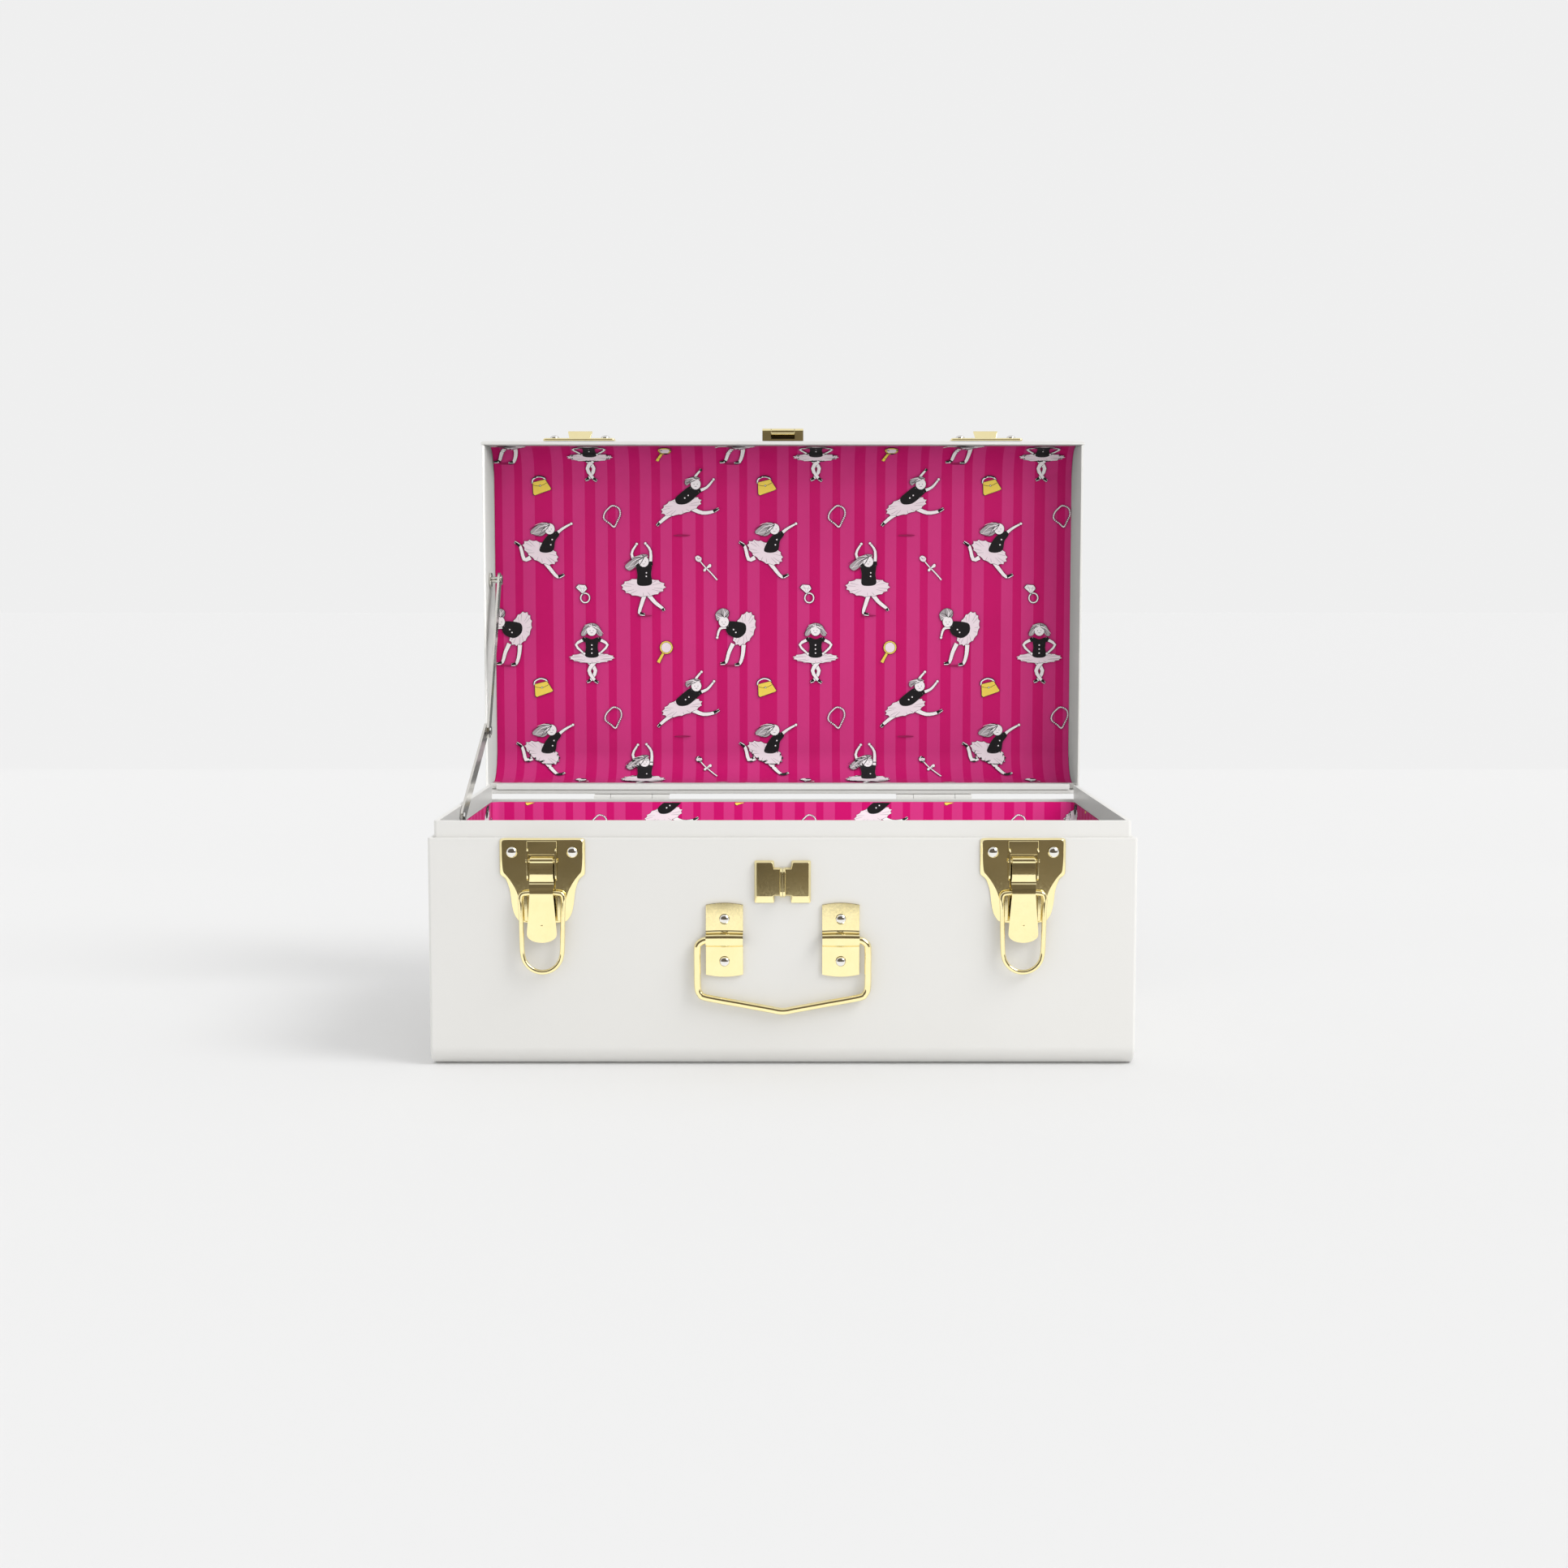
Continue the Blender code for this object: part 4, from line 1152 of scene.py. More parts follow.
@dataclass
class Latch:
    """One draw latch, drawn for the left side about the middle of its plate's top edge.

    Outlines are (half width, down) and profiles (out, down), in millimetres.
    """

    palette: Palette
    side: str
    foot: tuple[Point, ...] = (
        (0, 0), (12, 0), (21.5, 0), (23.9, 0.8), (24.4, 3), (24.4, 12), (24.3, 19.6), (23.4, 21.6),
        (21.1, 23.7), (19.4, 27.6), (18.5, 31.5), (17.7, 38), (16.6, 43), (15, 46), (13, 48), (8, 48.8),
        (0, 48.8),
    )  # fmt: skip
    face: tuple[Point, ...] = (
        (0, 1.0), (12, 1.0), (20.6, 1.0), (22.5, 1.7), (23.0, 4), (22.9, 12), (22.3, 18.8), (21.0, 20.8),
        (18.9, 23.4), (16.6, 27), (14.8, 30.5), (13, 36), (12.2, 41), (11.6, 44), (10.4, 45.4), (7, 46),
        (0, 46),
    )  # fmt: skip
    lever: tuple[Triple, ...] = (
        (5.6, 12.6, 6.5), (6.8, 13.4, 6.55), (7.25, 15.2, 6.6), (7.4, 18.5, 6.6), (7.3, 22, 6.7),
        (6.75, 24.6, 7.0), (7.55, 26.2, 7.0), (8.2, 28.6, 6.9), (8.42, 31, 6.7), (8.25, 33.4, 6.8),
        (7.9, 35.2, 7.0), (7.83, 37, 7.15), (7.76, 40, 7.4), (7.6, 46, 7.9), (7.44, 52, 8.4),
        (7.37, 54.6, 8.5),
    )  # fmt: skip
    thick: float = 1.3
    tip: float = 59.4
    wire: float = 2.8 * MM
    dish: tuple[Point, ...] = (
        (0.0, 0.3), (0.0, 0.75), (0.12, 1.05), (0.4, 1.5), (0.72, 1.95), (0.9, 2.18), (1.0, 2.3),
    )  # fmt: skip
    seat: float = 1.6
    strap: tuple[Triple, Triple] = ((-8.6, 4.5, 9.4), (8.6, 1.6, 1.4))
    ear_half: float = 8.05
    ear_thick: float = 1.0
    ear_out: float = 6.5
    ear_down: Point = (5.4, 24)
    ear_round: float = 3 * MM
    rail_across: Point = (7.9, 11.2)
    rail_out: float = 3.5
    rail_down: Point = (30.5, 47.6)
    pin: Point = (5, 12.7)
    pin_size: Point = (2.1 * MM, 13 * MM)
    hub: Point = (5.6, 31)
    hub_size: Point = (2.7 * MM, 13.2 * MM)
    dimple_down: float = 49.3
    dimple_radius: float = 0.5 * MM

    def build(self) -> None:
        """Makes the plate, the lever and the bail."""
        low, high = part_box(f"latch_{self.side}_plate")
        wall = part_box("base_wrap")[0].y
        self.centre = Vector(((low.x + high.x) / 2, wall, high.z))
        self.make_plate()
        self.make_lever()
        self.make_bail()

    def spot(self, x: float, out: float, down: float) -> Vector:
        """A point from millimetres across, out of the wall and down from the plate's top."""
        return self.centre + Vector((x, -out, -down)) * MM

    def ring(self, half: Sequence[Point], out: float) -> list[Vector]:
        """A whole outline from its right half, at one distance from the wall.

        Args:
            half: The right half.
            out: The distance from the wall.

        Returns:
            The outline's corners.
        """
        right = smooth_path(half, 4)
        left = [Vector((-p.x, p.y)) for p in reversed(right[1:-1])]
        return [self.spot(p.x, out, p.y) for p in [*right, *left]]

    def make_plate(self) -> None:
        """The dished plate with its strap, its two ears and the rails beside the tongue."""
        rings = [self.ring(between(self.foot, self.face, share), out) for share, out in self.dish]
        plate = smooth(contoured(f"latch_{self.side}_plate_dished", rings), 40)
        strap = block("strap", *(self.spot(*corner) for corner in self.strap))
        parts = [plate, soften(strap, 0.45 * MM, 3)]
        for side in (-1, 1):
            parts.append(self.make_ear(side))
            inner, outer = sorted(side * across for across in self.rail_across)
            upper, lower = self.rail_down
            rail = block("rail", self.spot(inner, self.rail_out, lower), self.spot(outer, self.seat, upper))
            parts.append(soften(rail, 0.7 * MM, 3))
        whole = merged(plate.name, parts)
        hand_in(whole, Body.BASE.value, Slot.BRASS, [f"latch_{self.side}_plate"], self.palette.brass)

    def make_ear(self, side: int) -> bpy.types.Object:
        """One of the ears that hold the lever's pin, its outer corners rounded.

        Args:
            side: -1 for the left ear, 1 for the right one.

        Returns:
            The ear.
        """
        middle, half = side * self.ear_half, self.ear_thick / 2
        upper, lower = self.ear_down
        outer = self.spot(0, self.ear_out, 0).y
        ear = block(
            "ear", self.spot(middle - half, self.ear_out, lower), self.spot(middle + half, self.seat, upper)
        )
        with editing(ear, "EDGE"):
            pick_edges(ear, lambda middle, along: abs(along.x) > 0.9 and middle.y < outer + 0.1 * MM)
            bpy.ops.mesh.bevel(offset=self.ear_round, segments=6, affect="EDGES")
        return soften(ear, 0.25 * MM, 2)

    def make_lever(self) -> None:
        """The folded lever: one strip over its pin and the bail, ending in a wide round tongue."""
        path = smooth_path(self.lever, 4)
        rings = [self.strip_ring(*point) for point in path]
        start = path[-1]
        steps, narrowest = 12, 0.6
        for step in range(1, steps + 1):
            turn = math.radians(90 * step / steps)
            half = max(start.z * math.cos(turn), narrowest)
            rings.append(self.strip_ring(start.x, start.y + (self.tip - start.y) * math.sin(turn), half))
        strip = soften(contoured(f"latch_{self.side}_lever_folded", rings), 0.3 * MM, 3, 50)
        barrels = []
        for (radius, length), place in ((self.pin_size, self.pin), (self.hub_size, self.hub)):
            barrels.append(soften(rod_x("barrel", radius, length, self.spot(0, *place)), 0.2 * MM, 2, 60))
        strip = carve(strip, self.make_dimple())
        whole = merged(strip.name, [strip, *barrels])
        body = f"latch_{self.side}_lever"
        hand_in(smooth(whole, 40), body, Slot.BRASS, [body], self.palette.brass)

    def make_dimple(self) -> bpy.types.Object:
        """The small oval mark near the tongue's tip, as the tool that cuts it.

        Returns:
            The tool.
        """
        deselect()
        place = self.spot(0, self.lever[-1][0] + 0.1, self.dimple_down)
        bpy.ops.mesh.primitive_uv_sphere_add(
            segments=16, ring_count=8, radius=self.dimple_radius, location=place
        )
        dimple = named("dimple")
        dimple.scale = (1.6, 0.5, 1)
        return settle(dimple)

    def strip_ring(self, out: float, down: float, half: float) -> list[Vector]:
        """A section across the lever's strip."""
        front = [self.spot(x, out, down) for x in (-half, half)]
        return [*front, self.spot(half, out - self.thick, down), self.spot(-half, out - self.thick, down)]

    def make_bail(self) -> None:
        """The wire loop, hanging from the lever."""
        top, end, reach, corner = 12.35, 11.1, 45.6, 4.2
        out, start = self.hub
        right = [(0, start), (top - corner, start), (top - 0.9, start + 0.9), (top, start + corner)]
        right += [(top - 0.4, start + 11), (end + 0.4, start + reach - end - 3)]
        for step in range(1, 7):
            turn = math.radians(90 * step / 6)
            right.append((end * math.cos(turn), start + reach - end + end * math.sin(turn)))
        path = smooth_path([*right, *[(-x, z) for x, z in reversed(right[1:-1])]], 6, closed=True)
        node = f"latch_{self.side}_bail"
        loop = bent_wire(f"{node}_wire", [self.spot(p.x, out, p.y) for p in path], self.wire, True)
        hand_in(loop, node, Slot.BRASS, [node], self.palette.brass)


@dataclass
class Staple:
    """The hasp's staple: two pressed pads and a pinched rib. Corners are (across, down) in millimetres."""

    palette: Palette
    dish: tuple[Point, ...] = ((0.3, 0), (0.9, 0.02), (2.9, 0.93), (3.2, 1))
    rib_across: Point = (0.1, 1.5)
    rib_out: Point = (0.6, 8.4)
    rib_down: Point = (4.0, 20.6)
    rib_round: float = 3.4 * MM
    hole: Point = (5.4, 12.3)
    hole_radius: float = 2.1 * MM
    foot: tuple[Point, ...] = (
        (1.5, 4.0), (4.6, 4.0), (5.0, 0.4), (5.6, 0), (15.6, 0), (16.1, 0.5), (16.1, 24.0), (15.6, 24.5),
        (5.2, 24.5), (4.8, 24.1), (4.6, 20.6), (1.5, 20.6),
    )  # fmt: skip
    face: tuple[Point, ...] = (
        (1.5, 4.8), (5.0, 4.8), (5.9, 1.4), (6.3, 1.0), (14.6, 1.0), (15.0, 1.4), (15.0, 20.1), (14.6, 20.5),
        (6.1, 20.5), (5.7, 20.2), (5.0, 19.7), (1.5, 19.7),
    )  # fmt: skip

    def build(self) -> None:
        """Makes the pads and the rib."""
        low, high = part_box("hasp_staple")
        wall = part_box("base_wrap")[0].y
        top = Vector(((low.x + high.x) / 2, wall, high.z))
        rings = []
        for out, share in self.dish:
            outline = between(self.foot, self.face, share)
            rings.append([top + Vector((x, -out, -down)) * MM for x, down in outline])
        pad = soften(contoured("hasp_staple_pressed", rings), 0.3 * MM, 3, 20)
        other = mirrored(pad, "other_pad")
        fins = [self.make_fin(top, side) for side in (-1, 1)]
        whole = merged(pad.name, [pad, other, *fins])
        hand_in(whole, Body.BASE.value, Slot.BRASS, ["hasp_staple"], self.palette.brass)

    def make_fin(self, top: Vector, side: int) -> bpy.types.Object:
        """One half of the rib, with its outer corners rounded and the hole for a padlock.

        Args:
            top: The middle of the staple's top edge, on the wall.
            side: -1 for the left half, 1 for the right one.

        Returns:
            The half.
        """
        inner, outer = sorted(side * across for across in self.rib_across)
        near, far = self.rib_out
        upper, lower = self.rib_down
        fin = block(
            "fin",
            top + Vector((inner, -far, -lower)) * MM,
            top + Vector((outer, -near, -upper)) * MM,
        )
        with editing(fin, "EDGE"):
            pick_edges(fin, lambda middle, along: abs(along.x) > 0.9 and middle.y < top.y - 8 * MM)
            bpy.ops.mesh.bevel(offset=self.rib_round, segments=8, affect="EDGES")
        out, down = self.hole
        hole = rod_x("hole", self.hole_radius, 8 * MM, top + Vector((0, -out, -down)) * MM)
        return soften(carve(fin, hole), 0.3 * MM, 3)


@dataclass
class Handle:
    """The carrying handle's wire and the two straps that hold it. Millimetres from the ledge down."""

    palette: Palette
    plate_out: float = 1.9
    sheet: float = 1.6
    barrel_down: float = 58.2
    fold_down: float = 53.4
    arch: float = 1.2
    arch_reach: float = 21
    rows: tuple[float, ...] = (0, 0.015, 0.03, 0.3, 0.6, 0.94, 0.97, 0.985)
    columns: int = 13

    def build(self) -> None:
        """Makes both straps and the wire."""
        for side in ("left", "right"):
            self.make_strap(side)
        self.make_wire()

    def profile(self, top: float, bottom: float) -> list[Point]:
        """The strap's front from top to bottom, as (out, down).

        Args:
            top: The strap's top edge.
            bottom: Its bottom edge.

        Returns:
            The rows of the strap.
        """
        path: list[Point] = [(self.plate_out, top + (self.fold_down - top) * share) for share in self.rows]
        path += [(1.95, 53.6), (2.5, 54.2), (3.5, 54.4), (5.0, 54.45), (6.2, 54.6), (7.0, 55.0)]
        path += [(7.45, 55.6), (7.6, 56.4), (7.58, 57.4), (7.52, 58.6), (7.44, 59.8), (7.2, 60.7)]
        path += [(6.7, 61.4), (5.6, 61.85)]
        low = 2 * self.barrel_down
        path += [(3.5, low - 54.45), (2.5, low - 54.1), (2.0, low - 53.6)]
        start = low - self.fold_down
        return path + [(self.plate_out, bottom + (start - bottom) * share) for share in reversed(self.rows)]

    def make_strap(self, side: str) -> None:
        """A strap bent over the wire, its ends cut to a shallow arch.

        Args:
            side: The left or the right.
        """
        node = f"handle_bracket_{side}"
        low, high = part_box(node)
        ledge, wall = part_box("base_wrap")[1].z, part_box("base_wrap")[0].y
        top, bottom = (ledge - high.z) / MM, (ledge - low.z) / MM
        path = self.profile(top, bottom)
        deselect()
        bpy.ops.mesh.primitive_grid_add(
            x_subdivisions=self.columns - 1, y_subdivisions=len(path) - 1, size=1
        )
        strap = named(f"{node}_bent")
        half = (high.x - low.x) / 2
        for vertex in strap.data.vertices:
            share = 2 * vertex.co.x
            row = round((0.5 - vertex.co.y) * (len(path) - 1))
            out, down = path[row]
            inward = math.copysign(1, self.barrel_down - down)
            sag = self.arch * share * share * abs(down - self.barrel_down) / self.arch_reach * inward
            vertex.co = ((low.x + high.x) / 2 + share * half, wall - out * MM, ledge - (down + sag) * MM)
        with editing(strap):
            bpy.ops.mesh.select_all(action="SELECT")
            bpy.ops.mesh.normals_make_consistent(inside=False)
        if strap.data.polygons[0].normal.y > 0:
            strap.data.flip_normals()
        modify(strap, "SOLIDIFY", thickness=self.sheet * MM, offset=-1)
        soften(strap, 0.22 * MM, 3, 60)
        hand_in(strap, Body.BASE.value, Slot.BRASS, [node], self.palette.brass)

    def make_wire(self) -> None:
        """The wire: into the straps from outside, down both sides and across in a shallow V."""
        low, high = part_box("handle")
        radius = 2 * MM
        level = (low.y + high.y) / 2
        top = high.z - radius
        half = (high.x - low.x) / 2 - radius
        foot = low.z + radius
        hip = top - 31.4 * MM
        grip = half - 14 * MM
        right = [
            (grip, top),
            (half - 7 * MM, top),
            (half - 3.4 * MM, top - 0.4 * MM),
            (half - 0.6 * MM, top - 2.6 * MM),
            (half, top - 6 * MM),
            (half, top - 16 * MM),
            (half - 0.2 * MM, hip + 4 * MM),
            (half - 1.6 * MM, hip + 0.2 * MM),
            (half - 5 * MM, hip - 1.9 * MM),
            (half * 0.5, (hip + foot) / 2 - 0.6 * MM),
            (8 * MM, foot + 1.3 * MM),
            (0, foot),
        ]
        points = [*right, *[(-x, z) for x, z in reversed(right[:-1])]]
        path = [Vector((p.x, level, p.y)) for p in smooth_path(points, 6)]
        wire = bent_wire("handle_wire", path, 2 * radius, False)
        hand_in(wire, Body.HANDLE.value, Slot.BRASS, ["handle"], self.palette.brass)


# Lining and its print


@dataclass
class Tray:
    """The base's card lining, one sheet coved at its corners, and the places of points on it."""

    palette: Palette
    corner: float = 6 * MM
    cove: float = 5 * MM
    card: float = 1.2 * MM
    stripe_start: float = 35.3 * MM

    def __post_init__(self) -> None:
        """Reads the tray's inside from the frame's cards."""
        self.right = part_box("base_lining_right")[0].x
        self.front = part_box("base_lining_front")[1].y
        self.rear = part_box("base_lining_rear")[0].y
        self.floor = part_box("base_lining_floor")[1].z
        self.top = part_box("base_lining_rear")[1].z
        self.straight = self.right - self.corner
        self.bend = self.corner * math.pi / 2
        self.side = self.rear - self.front - 2 * self.corner

    def build(self) -> bpy.types.Object:
        """Makes the tray.

        Returns:
            The tray.
        """
        low, high = (-self.right, self.front, self.floor), (self.right, self.rear, self.top)
        tray = block("base_lining_tray", low, high)
        with editing(tray):
            pick_faces(tray, lambda centre, normal: normal.z > 0.9)
            bpy.ops.mesh.delete(type="FACE")
            bpy.ops.mesh.select_mode(type="EDGE")
            pick_edges(tray, lambda middle, along: abs(along.z) > 0.99)
            bpy.ops.mesh.bevel(offset=self.corner, segments=8, affect="EDGES")
            pick_edges(tray, lambda middle, along: middle.z < self.floor + 0.1 * MM)
            bpy.ops.mesh.bevel(offset=self.cove, segments=5, affect="EDGES")
            bpy.ops.mesh.select_all(action="SELECT")
            bpy.ops.mesh.flip_normals()
        tray.data.uv_layers.new(name="UVMap")
        self.unroll(tray)
        modify(tray, "SOLIDIFY", thickness=self.card, offset=-1)
        smooth(tray, 40)
        nodes = [f"base_lining_{part}" for part in ("floor", "front", "rear", "left", "right")]
        return hand_in(tray, Body.BASE.value, Slot.CARD, nodes, self.palette.base_card)

    def unroll(self, tray: bpy.types.Object) -> None:
        """Writes the distance round the walls, or across the floor, as the map's first coordinate.

        Args:
            tray: The tray.
        """
        layer = tray.data.uv_layers.active.data
        for polygon in tray.data.polygons:
            wall = polygon.center.z > self.floor + self.cove * 0.3
            ahead = polygon.center.y < self.front + self.corner
            for loop in polygon.loop_indices:
                place = tray.data.vertices[tray.data.loops[loop].vertex_index].co
                across = self.round_walls(place, ahead) if wall else place.x
                layer[loop].uv = (across - self.stripe_start, place.z)

    def round_walls(self, place: Vector, ahead: bool) -> float:
        """The distance round the walls from the middle of the rear one, or of the front one if ahead.

        Args:
            place: A point of the tray.
            ahead: Whether it is at the front wall.

        Returns:
            The distance.
        """
        sign = math.copysign(1, place.x)
        beyond = abs(place.x) - self.straight
        if beyond <= 0:
            return place.x
        start, forward = (self.front + self.corner, -1) if ahead else (self.rear - self.corner, 1)
        depth = (place.y - start) * forward
        if depth > 0:
            turn = math.atan2(beyond, depth)
            return sign * (self.straight + self.corner * turn)
        return sign * (self.straight + self.bend - depth)

    def on_walls(self, u: float, v: float, proud: float) -> Vector:
        """A point on the rear and side walls: u round from the rear's middle, v up from the floor.

        Args:
            u: How far round.
            v: How far up.
            proud: How far off the card.

        Returns:
            The point.
        """
        sign = math.copysign(1, u)
        along = abs(u)
        z = self.floor + v
        centre = Vector((self.straight, self.rear - self.corner, z))
        if along <= self.straight:
            return Vector((u, self.rear - proud, z))
        if along <= self.straight + self.bend:
            turn = (along - self.straight) / self.corner
            point = centre + (self.corner - proud) * Vector((math.sin(turn), math.cos(turn), 0))
        else:
            point = Vector((self.right - proud, centre.y - (along - self.straight - self.bend), z))
        return Vector((sign * point.x, point.y, z))

    def on_front(self, u: float, v: float, proud: float) -> Vector:
        """A point on the inside of the front wall, u from left to right as seen from inside."""
        return Vector((-u, self.front + proud, self.floor + v))

    def on_floor(self, u: float, v: float, proud: float) -> Vector:
        """A point on the floor."""
        return Vector((u, (self.front + self.rear) / 2 + v, self.floor + proud))


@dataclass
class LidCard:
    """The lid's lining, one card coved at the front and rear, and the places of points on it."""

    palette: Palette
    cove: float = 20 * MM
    card: float = 0.9 * MM

    def __post_init__(self) -> None:
        """Reads the lining from the frame, with the lid standing open."""
        low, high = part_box("lid_lining")
        self.half = high.x
        self.rim = low.y
        self.panel = high.y - self.card
        self.high = high.z - self.card
        self.low = low.z + self.card
        self.wall = self.panel - self.cove - self.rim
        self.bend = self.cove * math.pi / 2
        self.flat = self.high - self.low - 2 * self.cove
        self.length = 2 * self.wall + 2 * self.bend + self.flat

    def build(self) -> bpy.types.Object:
        """Makes the card.

        Returns:
            The card.
        """
        low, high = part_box("lid_lining")
        card = block("lid_lining_card", low, high)
        with editing(card):
            pick_faces(card, lambda centre, normal: normal.y < -0.9 or abs(normal.x) > 0.9)
            bpy.ops.mesh.delete(type="FACE")
            bpy.ops.mesh.select_mode(type="EDGE")
            pick_edges(card, lambda middle, along: abs(along.x) > 0.9 and middle.y > high.y - 0.1 * MM)
            bpy.ops.mesh.bevel(offset=self.cove + self.card, segments=14, affect="EDGES")
            bpy.ops.mesh.select_all(action="SELECT")
            bpy.ops.mesh.flip_normals()
        modify(card, "SOLIDIFY", thickness=self.card, offset=-1)
        smooth(card, 40)
        return hand_in(card, Body.LID.value, Slot.CARD, ["lid_lining"], self.palette.lid_card)

    def v_of_height(self, z: float) -> float:
        """How far above the lining's middle a height on the panel lies."""
        return z - (self.high + self.low) / 2

    def place(self, u: float, v: float, proud: float) -> Vector:
        """A point on the lining: u across, v up from the panel's middle along the card.

        Args:
            u: How far across.
            v: How far up along the card.
            proud: How far off the card.

        Returns:
            The point.
        """
        middle = (self.high + self.low) / 2
        sign = math.copysign(1, v)
        along = abs(v)
        if along <= self.flat / 2:
            y, rise = self.panel - proud, along
        elif along <= self.flat / 2 + self.bend:
            turn = (along - self.flat / 2) / self.cove
            y = self.panel - self.cove + (self.cove - proud) * math.cos(turn)
            rise = self.flat / 2 + (self.cove - proud) * math.sin(turn)
        else:
            y = self.panel - self.cove - (along - self.flat / 2 - self.bend)
            rise = self.flat / 2 + self.cove - proud
        return Vector((u, y, middle + sign * rise))


class Sketch:
    """A flat printed figure drawn in millimetres, each shape laid over the last."""

    STEP = 0.004 * MM
    DISC_SIDES = 14

    def __init__(self, name: str) -> None:
        """Starts an empty figure.

        Args:
            name: The figure's name.
        """
        self.shapes: list[tuple[list[Point], int]] = []
        self.name = name

    def fill(self, points: Sequence[Point], ink: Inks) -> None:
        """Lays a flat shape."""
        self.shapes.append(([(p[0], p[1]) for p in points], list(Inks).index(ink)))

    @staticmethod
    def layers(ink: Inks, edge: float) -> list[tuple[float, Inks]]:
        """The shape's own ink, over a dark outline where it has one."""
        return [(edge, Inks.OUTLINE), (0.0, ink)] if edge else [(0.0, ink)]

    def blob(self, points: Sequence[Point], ink: Inks, edge: float = 0.28) -> None:
        """Lays a smooth closed shape with a dark outline.

        Args:
            points: Points that the shape runs through.
            ink: Its ink.
            edge: The outline's width.
        """
        path = smooth_path(points, 4, closed=True)
        if edge:
            middle = sum(path, Vector((0, 0))) / len(path)
            grown = [p + (p - middle).normalized() * edge for p in path]
            self.fill([tuple(p) for p in grown], Inks.OUTLINE)
        self.fill([tuple(p) for p in path], ink)

    def disc(
        self, x: float, y: float, radius: float, ink: Inks, edge: float = 0.0, squash: float = 1.0
    ) -> None:
        """Lays a round or oval shape.

        Args:
            x: The middle, across.
            y: The middle, up.
            radius: Half the width.
            ink: Its ink.
            edge: The outline's width.
            squash: The height as a share of the width.
        """
        for grow, colour in self.layers(ink, edge):
            turns = [2 * math.pi * k / self.DISC_SIDES for k in range(self.DISC_SIDES)]
            wide, tall = radius + grow, radius * squash + grow
            self.fill([(x + wide * math.cos(t), y + tall * math.sin(t)) for t in turns], colour)

    def stroke(
        self, points: Sequence[Point], widths: Point, ink: Inks, edge: float = 0.0, steps: int = 3
    ) -> None:
        """Lays a tapered line along a smooth path.

        Args:
            points: Points that the line runs through.
            widths: Its widths at the start and the end.
            ink: Its ink.
            edge: The outline's width.
            steps: Steps from each point to the next.
        """
        path = smooth_path(points, steps)
        for grow, colour in self.layers(ink, edge):
            left, right = [], []
            for i, point in enumerate(path):
                along = (path[min(i + 1, len(path) - 1)] - path[max(i - 1, 0)]).normalized()
                side = Vector((-along.y, along.x))
                share = i / (len(path) - 1)
                half = (widths[0] + (widths[1] - widths[0]) * share) / 2 + grow
                left.append(tuple(point + side * half))
                right.append(tuple(point - side * half))
            self.fill([*left, *reversed(right)], colour)

    def build(self) -> bpy.types.Mesh:
        """Turns the shapes into one flat mesh, in metres.

        Returns:
            The mesh.
        """
        deselect()
        bpy.ops.mesh.primitive_circle_add(vertices=3, radius=MM, fill_type="NGON")
        obj = named(self.name)
        for _ in list(Inks):
            obj.data.materials.append(None)
        with editing(obj):
            for level, (points, ink) in enumerate(self.shapes, 1):
                bpy.ops.mesh.select_all(action="DESELECT")
                bpy.ops.mesh.primitive_circle_add(vertices=len(points), radius=MM, fill_type="NGON")
                bm = bmesh.from_edit_mesh(obj.data)
                face = next(face for face in bm.faces if face.select)
                for vertex, (x, y) in zip(face.verts, points):
                    vertex.co = (x * MM, y * MM, level * self.STEP)
                face.material_index = ink
                face.normal_update()
                if face.normal.z < 0:
                    face.normal_flip()
                bmesh.update_edit_mesh(obj.data)
            pick_faces(obj, lambda centre, normal: centre.z < self.STEP / 2)
            bpy.ops.mesh.delete(type="FACE")
            bpy.ops.mesh.select_all(action="SELECT")
            bpy.ops.mesh.quads_convert_to_tris(ngon_method="BEAUTY")
        mesh = obj.data
        bpy.data.objects.remove(obj)
        return mesh


@dataclass(frozen=True)
class Pose:
    """How a printed dancer stands: places in millimetres from the figure's own middle."""

    head: Point
    hair: tuple[Point, ...]
    bodice: tuple[Point, ...]
    skirt: tuple[float, float, float, float, float]
    arms: tuple[tuple[Point, ...], ...]
    legs: tuple[tuple[Point, ...], ...]
    buttons: tuple[Point, ...]
    shadow: Triple | None = None


